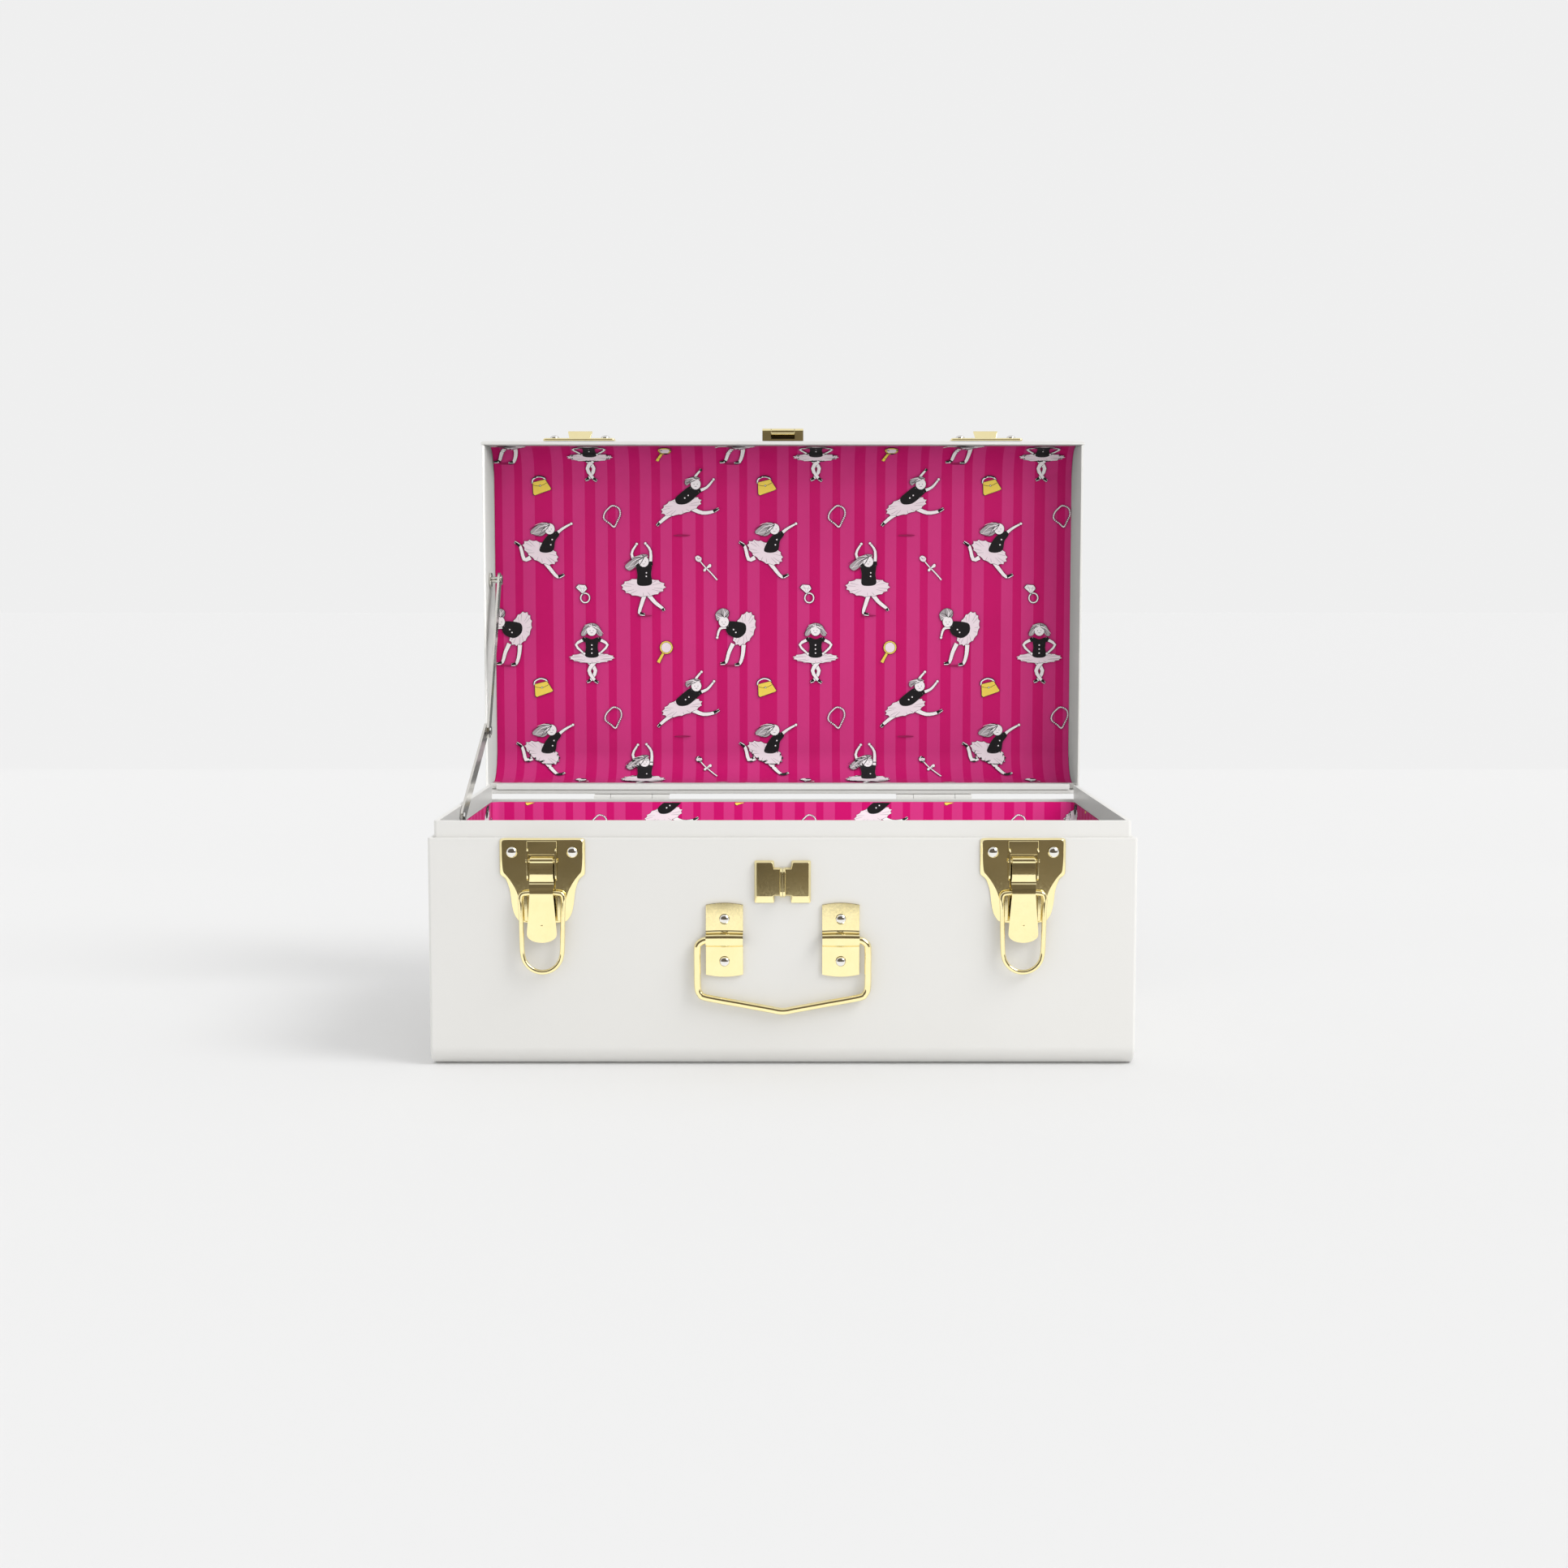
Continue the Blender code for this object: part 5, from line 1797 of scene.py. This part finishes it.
class Dancers(Enum):
    """The dancers' poses."""

    RUNNER = Pose(
        head=(4.9, 14.6),
        hair=((5.5, 17.8), (0, 18.5), (-5, 16), (-8.5, 12.5), (-5.5, 10.5), (-1, 9.8), (2.2, 12)),
        bodice=(
            (9.2, 12.6), (11.4, 10.4), (8.4, 6), (7.4, 0.4), (3.2, -1.6), (-2.0, -0.6), (-0.4, 4.4), (3.8, 10),
        ),  # fmt: skip
        skirt=(-1.4, -1.6, 13.0, 6.4, -28),
        arms=(((9.4, 11.2), (14.2, 15.0), (20.0, 18.2)),),
        legs=(
            ((-8.6, -5.2), (-13.0, -6.4), (-15.6, 2.4), (-19.6, 5.6)),
            ((0.2, -6.8), (5.0, -13.0), (10.2, -18.6), (14.8, -16.9)),
        ),
        buttons=((6.6, 7.2), (5.6, 3.6)),
    )
    REACHER = Pose(
        head=(0.6, 12.4),
        hair=((3.4, 16.6), (-1.4, 17.2), (-7, 14), (-12.4, 9.4), (-9.6, 6.2), (-5.8, 8.4), (-3.2, 12)),
        bodice=(
            (-4.4, 9.8), (0.4, 8.6), (5.8, 10.2), (5.4, 3.6), (5.9, -2.8), (0.6, -4.2), (-3.8, -3), (-3.6, 3.4),
        ),  # fmt: skip
        skirt=(0.2, -5.4, 14.8, 6.2, 0),
        arms=(
            ((-4.0, 9.2), (-7.8, 17.6), (-4.2, 24.6)),
            ((5.2, 9.8), (5.4, 19.6), (1.8, 25.0)),
        ),
        legs=(
            ((1.4, -9.6), (-0.9, -16.6), (-2.6, -23.2), (1.2, -24.4)),
            ((3.0, -9.6), (8.2, -15.8), (13.4, -19.9), (14.6, -21.8)),
        ),
        buttons=((2.4, 4.6), (2.3, 2.2)),
        shadow=(1.0, -25.2, 5.4),
    )
    LEAPER = Pose(
        head=(6.8, 10.4),
        hair=((9.6, 14.4), (4.4, 15.2), (-0.6, 12.4), (0.6, 9.4), (3.2, 11.4)),
        bodice=((3.6, 8.8), (9.4, 5.2), (6.4, 1.6), (0.6, -2.8), (-5.4, -3.2), (-7.2, 0.4), (-3.0, 4.4)),
        skirt=(-3.4, -4.6, 14.0, 5.6, 16),
        arms=(
            ((4.0, 7.4), (5.8, 14.4), (10.4, 20.2)),
            ((8.6, 5.6), (14.6, 8.2), (19.2, 13.6)),
        ),
        legs=(
            ((-4.2, -7.4), (-12.2, -11.4), (-18.2, -16.2), (-20.2, -18.4)),
            ((4.4, -6.6), (11.4, -9.4), (18.6, -8.6), (22.8, -6.4)),
        ),
        buttons=((1.6, 2.6), (-0.8, 0.8)),
        shadow=(-3.0, -25.0, 6.0),
    )
    BENDER = Pose(
        head=(-8.0, 8.6),
        hair=((-5.2, 11.8), (-4.8, 16.2), (-9.4, 17.8), (-13.6, 14.2), (-12.4, 9.4), (-9.4, 11.4)),
        bodice=((-5.6, 8.2), (0, 8.6), (6.6, 7.0), (6.8, 1.2), (2.0, -2.4), (-4.0, -0.6), (-6.4, 3.4)),
        skirt=(6.4, 3.6, 12.0, 6.8, 68),
        arms=(((-4.8, 5.0), (-10.6, 3.8), (-12.6, -2.4)),),
        legs=(
            ((-1.6, -6.6), (-4.4, -12.6), (-6.6, -19.6), (-10.4, -20.6)),
            ((5.8, -7.4), (5.2, -14.2), (3.2, -20.4), (-0.4, -21.4)),
        ),
        buttons=((-1.2, 3.2), (0.4, 1.2)),
        shadow=(-1.6, -22.0, 6.0),
    )
    STANDER = Pose(
        head=(0, 15.6),
        hair=(
            (4.6, 18.8), (0, 20.6), (-4.8, 18.6), (-7.4, 12.6), (-4.6, 12.2), (0, 18.0), (4.6, 12.2), (7.4, 12.6),
        ),  # fmt: skip
        bodice=(
            (-4.6, 10.4), (0, 9.2), (4.6, 10.4), (3.8, 4), (4.6, -1.8), (0, -3.2), (-4.6, -1.8), (-3.8, 4),
        ),  # fmt: skip
        skirt=(0, -3.6, 15.2, 3.4, 0),
        arms=(
            ((-4.4, 9.8), (-11.0, 5.6), (-5.4, -0.6)),
            ((4.4, 9.8), (11.0, 5.6), (5.4, -0.6)),
        ),
        legs=(
            ((-2.2, -6.0), (2.4, -12.4), (-0.8, -18.8), (-3.6, -20.4)),
            ((2.2, -6.0), (-2.0, -12.4), (1.6, -18.8), (4.4, -21.0)),
        ),
        buttons=((0, 5.4), (0, 2.6), (0, -0.2)),
    )


def draw_dancer(kind: Dancers) -> bpy.types.Mesh:
    """A plain dancer: limbs, skirt, bodice, loose hair, and dots and a line for a face.

    Args:
        kind: How the dancer stands.

    Returns:
        The figure.
    """
    pose = kind.value
    art = Sketch(f"print_{kind.name.lower()}")
    if pose.shadow:
        x, y, reach = pose.shadow
        art.disc(x, y, reach, Inks.SHADE, squash=0.1)
    for leg in pose.legs:
        art.stroke(leg, (2.9, 1.5), Inks.WHITE, 0.25)
        ankle, toe = Vector(leg[-2]), Vector(leg[-1])
        shoe = (tuple(ankle + (toe - ankle) * 0.1), tuple((ankle + toe) / 2), tuple(toe))
        art.stroke(shoe, (2.1, 0.7), Inks.BLACK)
    draw_skirt(art, *pose.skirt)
    art.blob(pose.bodice, Inks.BLACK)
    for x, y in pose.buttons:
        art.disc(x, y, 0.5, Inks.WHITE)
    for arm in pose.arms:
        art.stroke(arm, (2.2, 1.1), Inks.WHITE, 0.25)
        shoulder, elbow = Vector(arm[0]), Vector(arm[1])
        sleeve = tuple(tuple(shoulder + (elbow - shoulder) * share) for share in (0, 0.14, 0.28))
        art.stroke(sleeve, (3.4, 2.8), Inks.BLACK)
        art.disc(*arm[-1], 0.85, Inks.WHITE, 0.2)
    art.blob(pose.hair, Inks.GREY)
    x, y = pose.head
    art.disc(x, y, 3.5, Inks.WHITE, 0.28, 1.08)
    for side in (-1, 1):
        art.disc(x + side * 1.15, y - 0.1, 0.26, Inks.OUTLINE)
    art.stroke(((x - 0.8, y - 1.5), (x, y - 1.8), (x + 0.8, y - 1.5)), (0.2, 0.2), Inks.OUTLINE)
    draw_hair(art, pose)
    return art.build()


def draw_skirt(art: Sketch, x: float, y: float, reach: float, depth: float, tilt: float) -> None:
    """A net skirt: a scalloped oval with pleats from its middle, tilted in degrees.

    Args:
        art: The figure.
        x: The skirt's middle, across.
        y: The skirt's middle, up.
        reach: Half its width.
        depth: Half its height.
        tilt: Its tilt in degrees.
    """
    turn = Matrix.Rotation(math.radians(tilt), 2)
    outline = []
    lobes, steps = 15, 3
    for k in range(lobes * steps):
        angle = 2 * math.pi * k / (lobes * steps)
        ruffle = 1 + 0.055 * math.cos(lobes * angle) + 0.03 * math.sin(3 * angle + x)
        outline.append(Vector((reach * ruffle * math.cos(angle), depth * ruffle * math.sin(angle))))
    centre = Vector((x, y))
    for grow, ink in ((0.28, Inks.OUTLINE), (0.0, Inks.BLUSH)):
        art.fill([tuple(centre + turn @ (p + p.normalized() * grow)) for p in outline], ink)
    for k in range(18):
        angle = 2 * math.pi * (k + 0.5) / 18
        direction = Vector((reach * math.cos(angle), depth * math.sin(angle)))
        start, end = 0.52 + 0.06 * math.sin(5 * k), 0.93
        line = [tuple(centre + turn @ (direction * s)) for s in (start, (start + end) / 2, end)]
        art.stroke(line, (0.14, 0.3), Inks.GREY if k % 3 else Inks.WHITE, steps=1)


def draw_hair(art: Sketch, pose: Pose) -> None:
    """Loose strands over the hair's mass, swept from the crown.

    Args:
        art: The figure.
        pose: How the dancer stands.
    """
    head = Vector(pose.head)
    crown = head + Vector((0.2, 3.0))
    for k, tip in enumerate(pose.hair):
        target = Vector(tip)
        for spread in (-0.12, 0.1):
            side = Vector((-(target - crown).y, (target - crown).x)) * spread
            middle = (crown + target) / 2 + side * 1.6
            if (middle - head).length < 3.3:
                continue
            ink = Inks.OUTLINE if (k + (spread > 0)) % 2 else Inks.WHITE
            art.stroke((tuple(crown), tuple(middle), tuple(target + side)), (0.55, 0.16), ink, steps=2)


def draw_bag() -> bpy.types.Mesh:
    """A small handbag with a flap, a clasp and a strap.

    Returns:
        The figure.
    """
    art = Sketch("print_bag")
    art.stroke(((-6.4, 2.4), (-6.0, 5.2), (-2.2, 7.2), (1.6, 6.6), (3.2, 4.8)), (1.3, 1.3), Inks.OUTLINE)
    art.stroke(((-6.2, 2.4), (-5.8, 5.0), (-2.2, 6.9), (1.4, 6.3), (3.0, 4.8)), (0.8, 0.8), Inks.WHITE)
    body = [(-5.8, 3.0), (2.6, 5.1), (6.8, -1.4), (5.8, -2.2), (-4.6, -5.8), (-5.6, -4.8)]
    art.fill([tuple(Vector(p) * 1.06) for p in body], Inks.OUTLINE)
    art.fill(body, Inks.GOLD)
    art.stroke(((-5.6, 1.2), (-0.8, 0.6), (3.8, 2.8)), (0.3, 0.3), Inks.OUTLINE)
    art.disc(-0.8, 0.8, 0.7, Inks.OUTLINE)
    art.disc(-0.8, 0.8, 0.4, Inks.WHITE)
    return art.build()


def draw_necklace() -> bpy.types.Mesh:
    """A string of beads lying in a loose loop.

    Returns:
        The figure.
    """
    art = Sketch("print_necklace")
    corners = (
        (0.4, 7.4), (4.6, 5.6), (5.6, 1.4), (3.6, -3.4), (1.4, -7.2), (-1.6, -5.0), (-5.6, -1.6), (-5.2, 2.2),
        (-2.8, 5.2),
    )  # fmt: skip
    loop = smooth_path(corners, 4, closed=True)
    for ink, radius in ((Inks.OUTLINE, 0.75), (Inks.BLUSH, 0.52)):
        for p in loop:
            art.disc(p.x, p.y, radius, ink)
    return art.build()


def draw_ring() -> bpy.types.Mesh:
    """A finger ring with one large cut stone.

    Returns:
        The figure.
    """
    art = Sketch("print_ring")
    turns = [2 * math.pi * k / 20 for k in range(21)]
    band = [(1.4 + 3.1 * math.cos(turn), -2.6 + 3.3 * math.sin(turn)) for turn in turns]
    art.stroke(band, (1.35, 1.35), Inks.OUTLINE, steps=1)
    art.stroke(band, (0.8, 0.8), Inks.WHITE, steps=1)
    stone = [(-5.0, 4.6), (-3.2, 6.6), (1.6, 6.2), (2.8, 3.8), (-0.2, 0.2)]
    middle = Vector((-0.8, 4.2))
    art.fill([tuple(middle + (Vector(p) - middle) * 1.12) for p in stone], Inks.OUTLINE)
    art.fill(stone, Inks.WHITE)
    cuts = (
        ((-5.0, 4.6), (2.8, 3.8)), ((-3.2, 6.6), (-1.8, 4.3)), ((1.6, 6.2), (0.6, 4.0)),
        ((-1.8, 4.3), (-0.2, 0.2)), ((0.6, 4.0), (-0.2, 0.2)),
    )  # fmt: skip
    for a, b in cuts:
        art.stroke((a, tuple((Vector(a) + Vector(b)) / 2), b), (0.22, 0.22), Inks.GREY, steps=1)
    return art.build()


def draw_rose() -> bpy.types.Mesh:
    """A rose bud on a long leaning stem.

    Returns:
        The figure.
    """
    art = Sketch("print_rose")
    art.stroke(((-5.2, 5.0), (-1.4, 0.6), (2.6, -3.4), (6.8, -8.2)), (0.7, 0.9), Inks.WHITE, 0.16)
    for tip in ((2.6, 2.4), (-2.6, -2.0)):
        leaf = ((-0.6, 0), (tip[0] * 0.5, tip[1] * 1.1), tip, (tip[0] * 0.9, tip[1] * 0.3))
        art.blob(leaf, Inks.WHITE, 0.16)
    art.blob(((-4.8, 4.4), (-4.0, 6.8), (-6.4, 8.6), (-8.4, 7.4), (-7.4, 5.0)), Inks.BLUSH, 0.2)
    art.stroke(((-5.0, 6.6), (-6.2, 6.2), (-7.2, 7.4)), (0.3, 0.3), Inks.OUTLINE)
    return art.build()


def draw_mirror() -> bpy.types.Mesh:
    """A round hand mirror with a gold rim.

    Returns:
        The figure.
    """
    art = Sketch("print_mirror")
    art.stroke(((-1.4, -2.2), (-3.2, -5.4), (-4.8, -8.4)), (1.5, 2.1), Inks.GOLD, 0.25)
    art.disc(0.8, 2.0, 4.5, Inks.GOLD, 0.28)
    art.disc(0.8, 2.0, 3.5, Inks.BLUSH, 0.2)
    art.stroke(((-0.8, 3.0), (0.4, 4.2), (1.8, 4.6)), (0.3, 0.3), Inks.WHITE)
    return art.build()


@dataclass
class Print:
    """The figures printed on a lining, repeated at a scale."""

    palette: Palette
    repeat: tuple[float, float] = (LID_REPEAT * MM, 140.0 * MM)
    proud: float = 0.03 * MM
    spread: float = 34 * MM
    inset: float = 0.4 * MM
    lid_first: Point = (-167.6 * MM, 344.7 * MM)
    wall_first: Point = (-27.2 * MM, 3 * MM)
    front_first: Point = (-60 * MM, 24 * MM)
    floor_first: Point = (-150 * MM, 70 * MM)
    lid_folds: int = 14
    wall_folds: int = 6

    def __post_init__(self) -> None:
        """Draws each figure once, with its place in the repeat as (right, down) in millimetres."""
        self.figures: list[tuple[bpy.types.Mesh, Point]] = [
            (draw_bag(), (0, 0)),
            (draw_dancer(Dancers.LEAPER), (100.3, 8.5)),
            (draw_necklace(), (49.0, 20.4)),
            (draw_dancer(Dancers.RUNNER), (0.6, 43.6)),
            (draw_dancer(Dancers.REACHER), (70.2, 64.0)),
            (draw_rose(), (115.0, 56.1)),
            (draw_ring(), (28.4, 74.2)),
            (draw_dancer(Dancers.BENDER), (134.4, 102.0)),
            (draw_dancer(Dancers.STANDER), (34.2, 115.0)),
            (draw_mirror(), (85.4, 113.3)),
        ]
        for mesh, _ in self.figures:
            for index, ink in enumerate(self.palette.inks):
                mesh.materials[index] = ink

    def cover(
        self,
        name: str,
        body: Body,
        half: Point,
        first: Point,
        scale: float,
        cuts: Sequence[tuple[Point, Point]],
        place: Callable[[float, float, float], Vector],
    ) -> bpy.types.Object:
        """Prints a surface.

        Args:
            name: The printed sheet's name.
            body: The body that it rides on.
            half: Half the surface's flat size.
            first: Where the first bag lies, from the middle.
            scale: The size of the print.
            cuts: Fold lines as (point, direction across the fold), where the flat sheet is cut first.
            place: Gives the point in the frame for a flat one and its height.

        Returns:
            The sheet of figures.
        """
        copies = []
        step_u, step_v = self.repeat[0] * scale, self.repeat[1] * scale
        columns = math.ceil(half[0] * 2 / step_u) + 1
        rows = math.ceil(half[1] * 2 / step_v) + 1
        for column in range(-columns, columns + 1):
            for row in range(-rows, rows + 1):
                for mesh, (right, down) in self.figures:
                    u = first[0] + column * step_u + right * MM * scale
                    v = first[1] - row * step_v - down * MM * scale
                    if abs(u) < half[0] + self.spread and abs(v) < half[1] + self.spread:
                        copy = bpy.data.objects.new(name, mesh.copy())
                        bpy.context.scene.collection.objects.link(copy)
                        copy.scale = (scale, scale, 1)
                        copy.location = (u, v, 0)
                        copies.append(copy)
        sheet = settle(merged(name, copies))
        with editing(sheet):
            for direction in ((1, 0), (-1, 0), (0, 1), (0, -1)):
                edge = (half[0] * direction[0], half[1] * direction[1])
                self.bisect(edge, direction, True)
            for across, direction in cuts:
                self.bisect(across, direction, False)
        for vertex in sheet.data.vertices:
            u, v, level = vertex.co
            vertex.co = place(u, v, self.proud + level)
        return hand_in(sheet, body.value, Slot.CARD, [])

    @staticmethod
    def bisect(across: Point, direction: Point, clear: bool) -> None:
        """Cuts all shapes along a line, and drops what lies beyond it if asked.

        Args:
            across: A point of the line.
            direction: The direction across it.
            clear: Whether what lies beyond is dropped.
        """
        bpy.ops.mesh.select_all(action="SELECT")
        bpy.ops.mesh.bisect(
            plane_co=(*across, 0),
            plane_no=(*direction, 0),
            clear_outer=clear,
            clear_inner=False,
            use_fill=False,
        )

    def build(self, lid: LidCard, tray: Tray) -> None:
        """Prints the lid's card and the tray's walls and floor.

        Args:
            lid: The lid's card.
            tray: The base's tray.
        """
        self.print_lid(lid)
        self.print_base(tray)

    def print_lid(self, lid: LidCard) -> None:
        """Prints the lid's card, folded at its coves.

        Args:
            lid: The lid's card.
        """
        folds = []
        for side in (-1, 1):
            for step in range(self.lid_folds + 1):
                folds.append(((0, side * (lid.flat / 2 + lid.bend * step / self.lid_folds)), (0, 1)))
        half = (lid.half - self.inset, lid.length / 2 - self.inset)
        first = (self.lid_first[0], lid.v_of_height(self.lid_first[1]))
        self.cover("lid_lining_print", Body.LID, half, first, 1.0, folds, lid.place)

    def print_base(self, tray: Tray) -> None:
        """Prints the tray's rear and side walls in one sheet, its front wall and its floor.

        Args:
            tray: The base's tray.
        """
        scale = BASE_REPEAT / LID_REPEAT
        height = tray.top - tray.floor - tray.cove
        rise = tray.cove + height / 2
        folds = []
        for side in (-1, 1):
            for step in range(self.wall_folds + 1):
                folds.append(((side * (tray.straight + tray.bend * step / self.wall_folds), 0), (1, 0)))
        self.cover(
            "base_wall_print",
            Body.BASE,
            (tray.straight + tray.bend + tray.side, height / 2 - self.inset),
            (self.wall_first[0], tray.top + self.wall_first[1] - tray.floor - rise),
            scale,
            folds,
            lambda u, v, proud: tray.on_walls(u, v + rise, proud),
        )
        self.cover(
            "base_front_print",
            Body.BASE,
            (tray.straight, height / 2 - self.inset),
            self.front_first,
            scale,
            [],
            lambda u, v, proud: tray.on_front(u, v + rise, proud),
        )
        self.cover(
            "base_floor_print",
            Body.BASE,
            (tray.right - tray.cove, (tray.rear - tray.front) / 2 - tray.cove),
            self.floor_first,
            scale,
            [],
            tray.on_floor,
        )


# Studio


@dataclass
class Studio:
    """A plain pale floor, soft light from the right, and the camera."""

    camera_place: Triple = (0.0008, -1.355, 0.271)
    camera_dip: float = 5.0
    lens: float = 50.0
    sensor: float = 36.0
    surround: float = 0.865
    sun_aim: Triple = (-0.62, 0.26, -0.744)
    sun_energy: float = 0.98
    sun_spread: float = 28
    panel_place: Triple = (0.72, -0.72, 0.66)
    panel_target: Triple = (0.0, 0.0, 0.15)
    panel_size: float = 0.5
    panel_energy: float = 2.4
    # glow of the sheets that paint the reflections in polished metal
    cloth_glow_low: Triple = (0.035, 0.028, 0.018)
    cloth_glow_high: Triple = (0.17, 0.14, 0.10)
    card_energy: float = 1.14
    cloth_edge: float = -0.77
    cloth_far: float = -3.2
    cloth_wide: float = 6.0

    def build(self) -> None:
        """Makes the floor, what only polished metal sees, the lights and the camera."""
        floor = self.make_floor()
        self.make_dark_side()
        self.make_world()
        self.make_sun()
        self.make_panel(floor)
        self.make_camera()

    def make_floor(self) -> bpy.types.Object:
        """A wide matt floor.

        Returns:
            The floor.
        """
        deselect()
        bpy.ops.mesh.primitive_plane_add(size=60)
        floor = named("studio_floor")
        graph = Graph.start("matt_floor")
        graph.shader.inputs["Base Color"].default_value = (0.8, 0.8, 0.8, 1)
        graph.shader.inputs["Roughness"].default_value = 0.9
        graph.shader.inputs["Specular IOR Level"].default_value = 0.1
        floor.data.materials.append(graph.material)
        floor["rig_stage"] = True
        return floor

    def make_dark_side(self) -> None:
        """Glowing sheets seen only in reflections, which paint what polished metal reflects: a dim cloth in front
        of the case, its folds painted into its glow, and a bright card on the floor.
        """
        dark = Graph.start("dark_cloth")
        dark.shader.inputs["Base Color"].default_value = (0.02, 0.016, 0.01, 1)
        # painted reflection: a noise in the cloth's glow stands in for the shade of its folds
        folds = dark.noise(dark.place((2.4, 0.5, 1)), 2.2, 2)
        glow = dark.tint(folds, self.cloth_glow_low, self.cloth_glow_high)
        dark.link(glow, dark.shader.inputs["Emission Color"])
        dark.shader.inputs["Emission Strength"].default_value = 1
        # painted reflection: a glowing card in place of the lit floor, seen by reflections only
        bright = Graph.start("bright_card")
        bright.shader.inputs["Base Color"].default_value = (0, 0, 0, 1)
        bright.shader.inputs["Specular IOR Level"].default_value = 0
        bright.shader.inputs["Emission Color"].default_value = (1, 0.99, 0.96, 1)
        bright.shader.inputs["Emission Strength"].default_value = self.card_energy
        edge, far, wide = self.cloth_edge, self.cloth_far, self.cloth_wide
        sheets = (
            ("cloth_on_floor", dark, (-wide, far, 0.0004), (wide, edge, 0.0008)),
            ("cloth_upright", dark, (-wide, far, 0), (wide, far + 0.01, 4.2)),
            ("card_on_floor", bright, (-wide, edge, 0.0004), (wide, 2, 0.0008)),
        )
        for name, graph, low, high in sheets:
            sheet = block(name, low, high)
            sheet.data.materials.append(graph.material)
            for ray in ("camera", "diffuse", "transmission", "volume_scatter", "shadow"):
                setattr(sheet, f"visible_{ray}", False)
            sheet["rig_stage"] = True

    def make_world(self) -> None:
        """Even light from all round, as bright as the floor."""
        world = bpy.data.worlds.new("pale_surround")
        bpy.context.scene.world = world
        world.use_nodes = True
        background = world.node_tree.nodes["Background"]
        background.inputs["Color"].default_value = (self.surround, self.surround, self.surround, 1)

    def make_sun(self) -> None:
        """The soft key light from the right and above."""
        deselect()
        aim = Vector(self.sun_aim).to_track_quat("-Z", "Y").to_euler()
        bpy.ops.object.light_add(type="SUN", rotation=aim)
        sun = bpy.context.object
        sun.name = "soft_key"
        sun.data.energy = self.sun_energy
        sun.data.angle = math.radians(self.sun_spread)

    def make_panel(self, floor: bpy.types.Object) -> None:
        """A panel close on the right, which lights the case but not the floor.

        Args:
            floor: The floor, which it spares.
        """
        deselect()
        place = Vector(self.panel_place)
        aim = (Vector(self.panel_target) - place).to_track_quat("-Z", "Y").to_euler()
        bpy.ops.object.light_add(type="AREA", location=place, rotation=aim)
        panel = bpy.context.object
        panel.name = "side_panel"
        panel.data.shape = "DISK"
        panel.data.size = self.panel_size
        panel.data.energy = self.panel_energy
        spared = bpy.data.collections.new("not_lit_by_panel")
        panel.light_linking.receiver_collection = spared
        spared.objects.link(floor)
        spared.collection_objects[0].light_linking.link_state = "EXCLUDE"

    def make_camera(self) -> None:
        """The camera, level with the lid and looking a little down."""
        bpy.ops.object.camera_add(
            location=self.camera_place, rotation=(math.radians(90 - self.camera_dip), 0, 0)
        )
        camera = bpy.context.object
        camera.name = "camera"
        camera.data.lens = self.lens
        camera.data.sensor_width = self.sensor
        camera.data.clip_start = 0.05
        camera.data.clip_end = 200
        bpy.context.scene.camera = camera
        bpy.context.scene.view_settings.view_transform = "Standard"


@dataclass(frozen=True)
class Fill:
    """A soft lamp that lights a few pieces only, as light that bounces about inside the case does."""

    name: str
    place: Triple
    target: Triple
    size: tuple[float, float]
    energy: float
    pieces: tuple[str, ...]

    def build(self) -> None:
        """Makes the lamp."""
        deselect()
        place = Vector(self.place)
        aim = (Vector(self.target) - place).to_track_quat("-Z", "Y").to_euler()
        bpy.ops.object.light_add(type="AREA", location=place, rotation=aim)
        lamp = bpy.context.object
        lamp.name = self.name
        lamp.data.shape = "RECTANGLE"
        lamp.data.size, lamp.data.size_y = self.size
        lamp.data.energy = self.energy
        lamp.visible_camera = False
        lamp.visible_glossy = False
        lit = bpy.data.collections.new(f"lit_by_{self.name}")
        for piece in self.pieces:
            lit.objects.link(bpy.data.objects[piece])
        lamp.light_linking.receiver_collection = lit


def light_inside() -> None:
    """Lights the inside of the base and the lid."""
    prints = ("base_wall_print", "base_front_print", "base_floor_print")
    Fill(
        name="well_fill",
        place=(0.3, -0.8, 0.7),
        target=(-0.1, 0.1, 0.15),
        size=(0.4, 0.4),
        energy=7.6,
        pieces=("base_lining_tray", *prints, "lid_end_left_rounded"),
    ).build()
    Fill(
        name="lid_glow",
        place=(0, 0, 0.125),
        target=(0, 0.12, 0.30),
        size=(0.38, 0.16),
        energy=0.12,
        pieces=("lid_lining_card", "lid_lining_print", "lid_hinge_rail_rounded", "lid_end_right_rounded"),
    ).build()


def corners(box: tuple[Vector, Vector]) -> list[list[float]]:
    """A box's two corners as plain lists of numbers."""
    return [[float(value) for value in corner] for corner in box]


def main() -> None:
    """Builds every piece of the case and its studio."""
    logging.basicConfig(level=logging.INFO, format="%(message)s")
    frame_box = corners(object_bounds())
    palette = Palette()
    Studio().build()
    sheet_work = SheetWork(palette)
    sheet_work.build()
    Collar(palette).build()
    SmallFittings(palette).build()
    Rivets(palette).build()
    for side in ("left", "right"):
        Latch(palette, side).build()
    Staple(palette).build()
    Handle(palette).build()
    tray = Tray(palette)
    tray.build()
    lid_card = LidCard(palette)
    lid_card.build()
    Print(palette).build(lid_card, tray)
    sheet_work.dress_rest()
    light_inside()
    {"frame": frame_box, "finished": corners(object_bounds())}


if __name__ == "__main__":
    main()
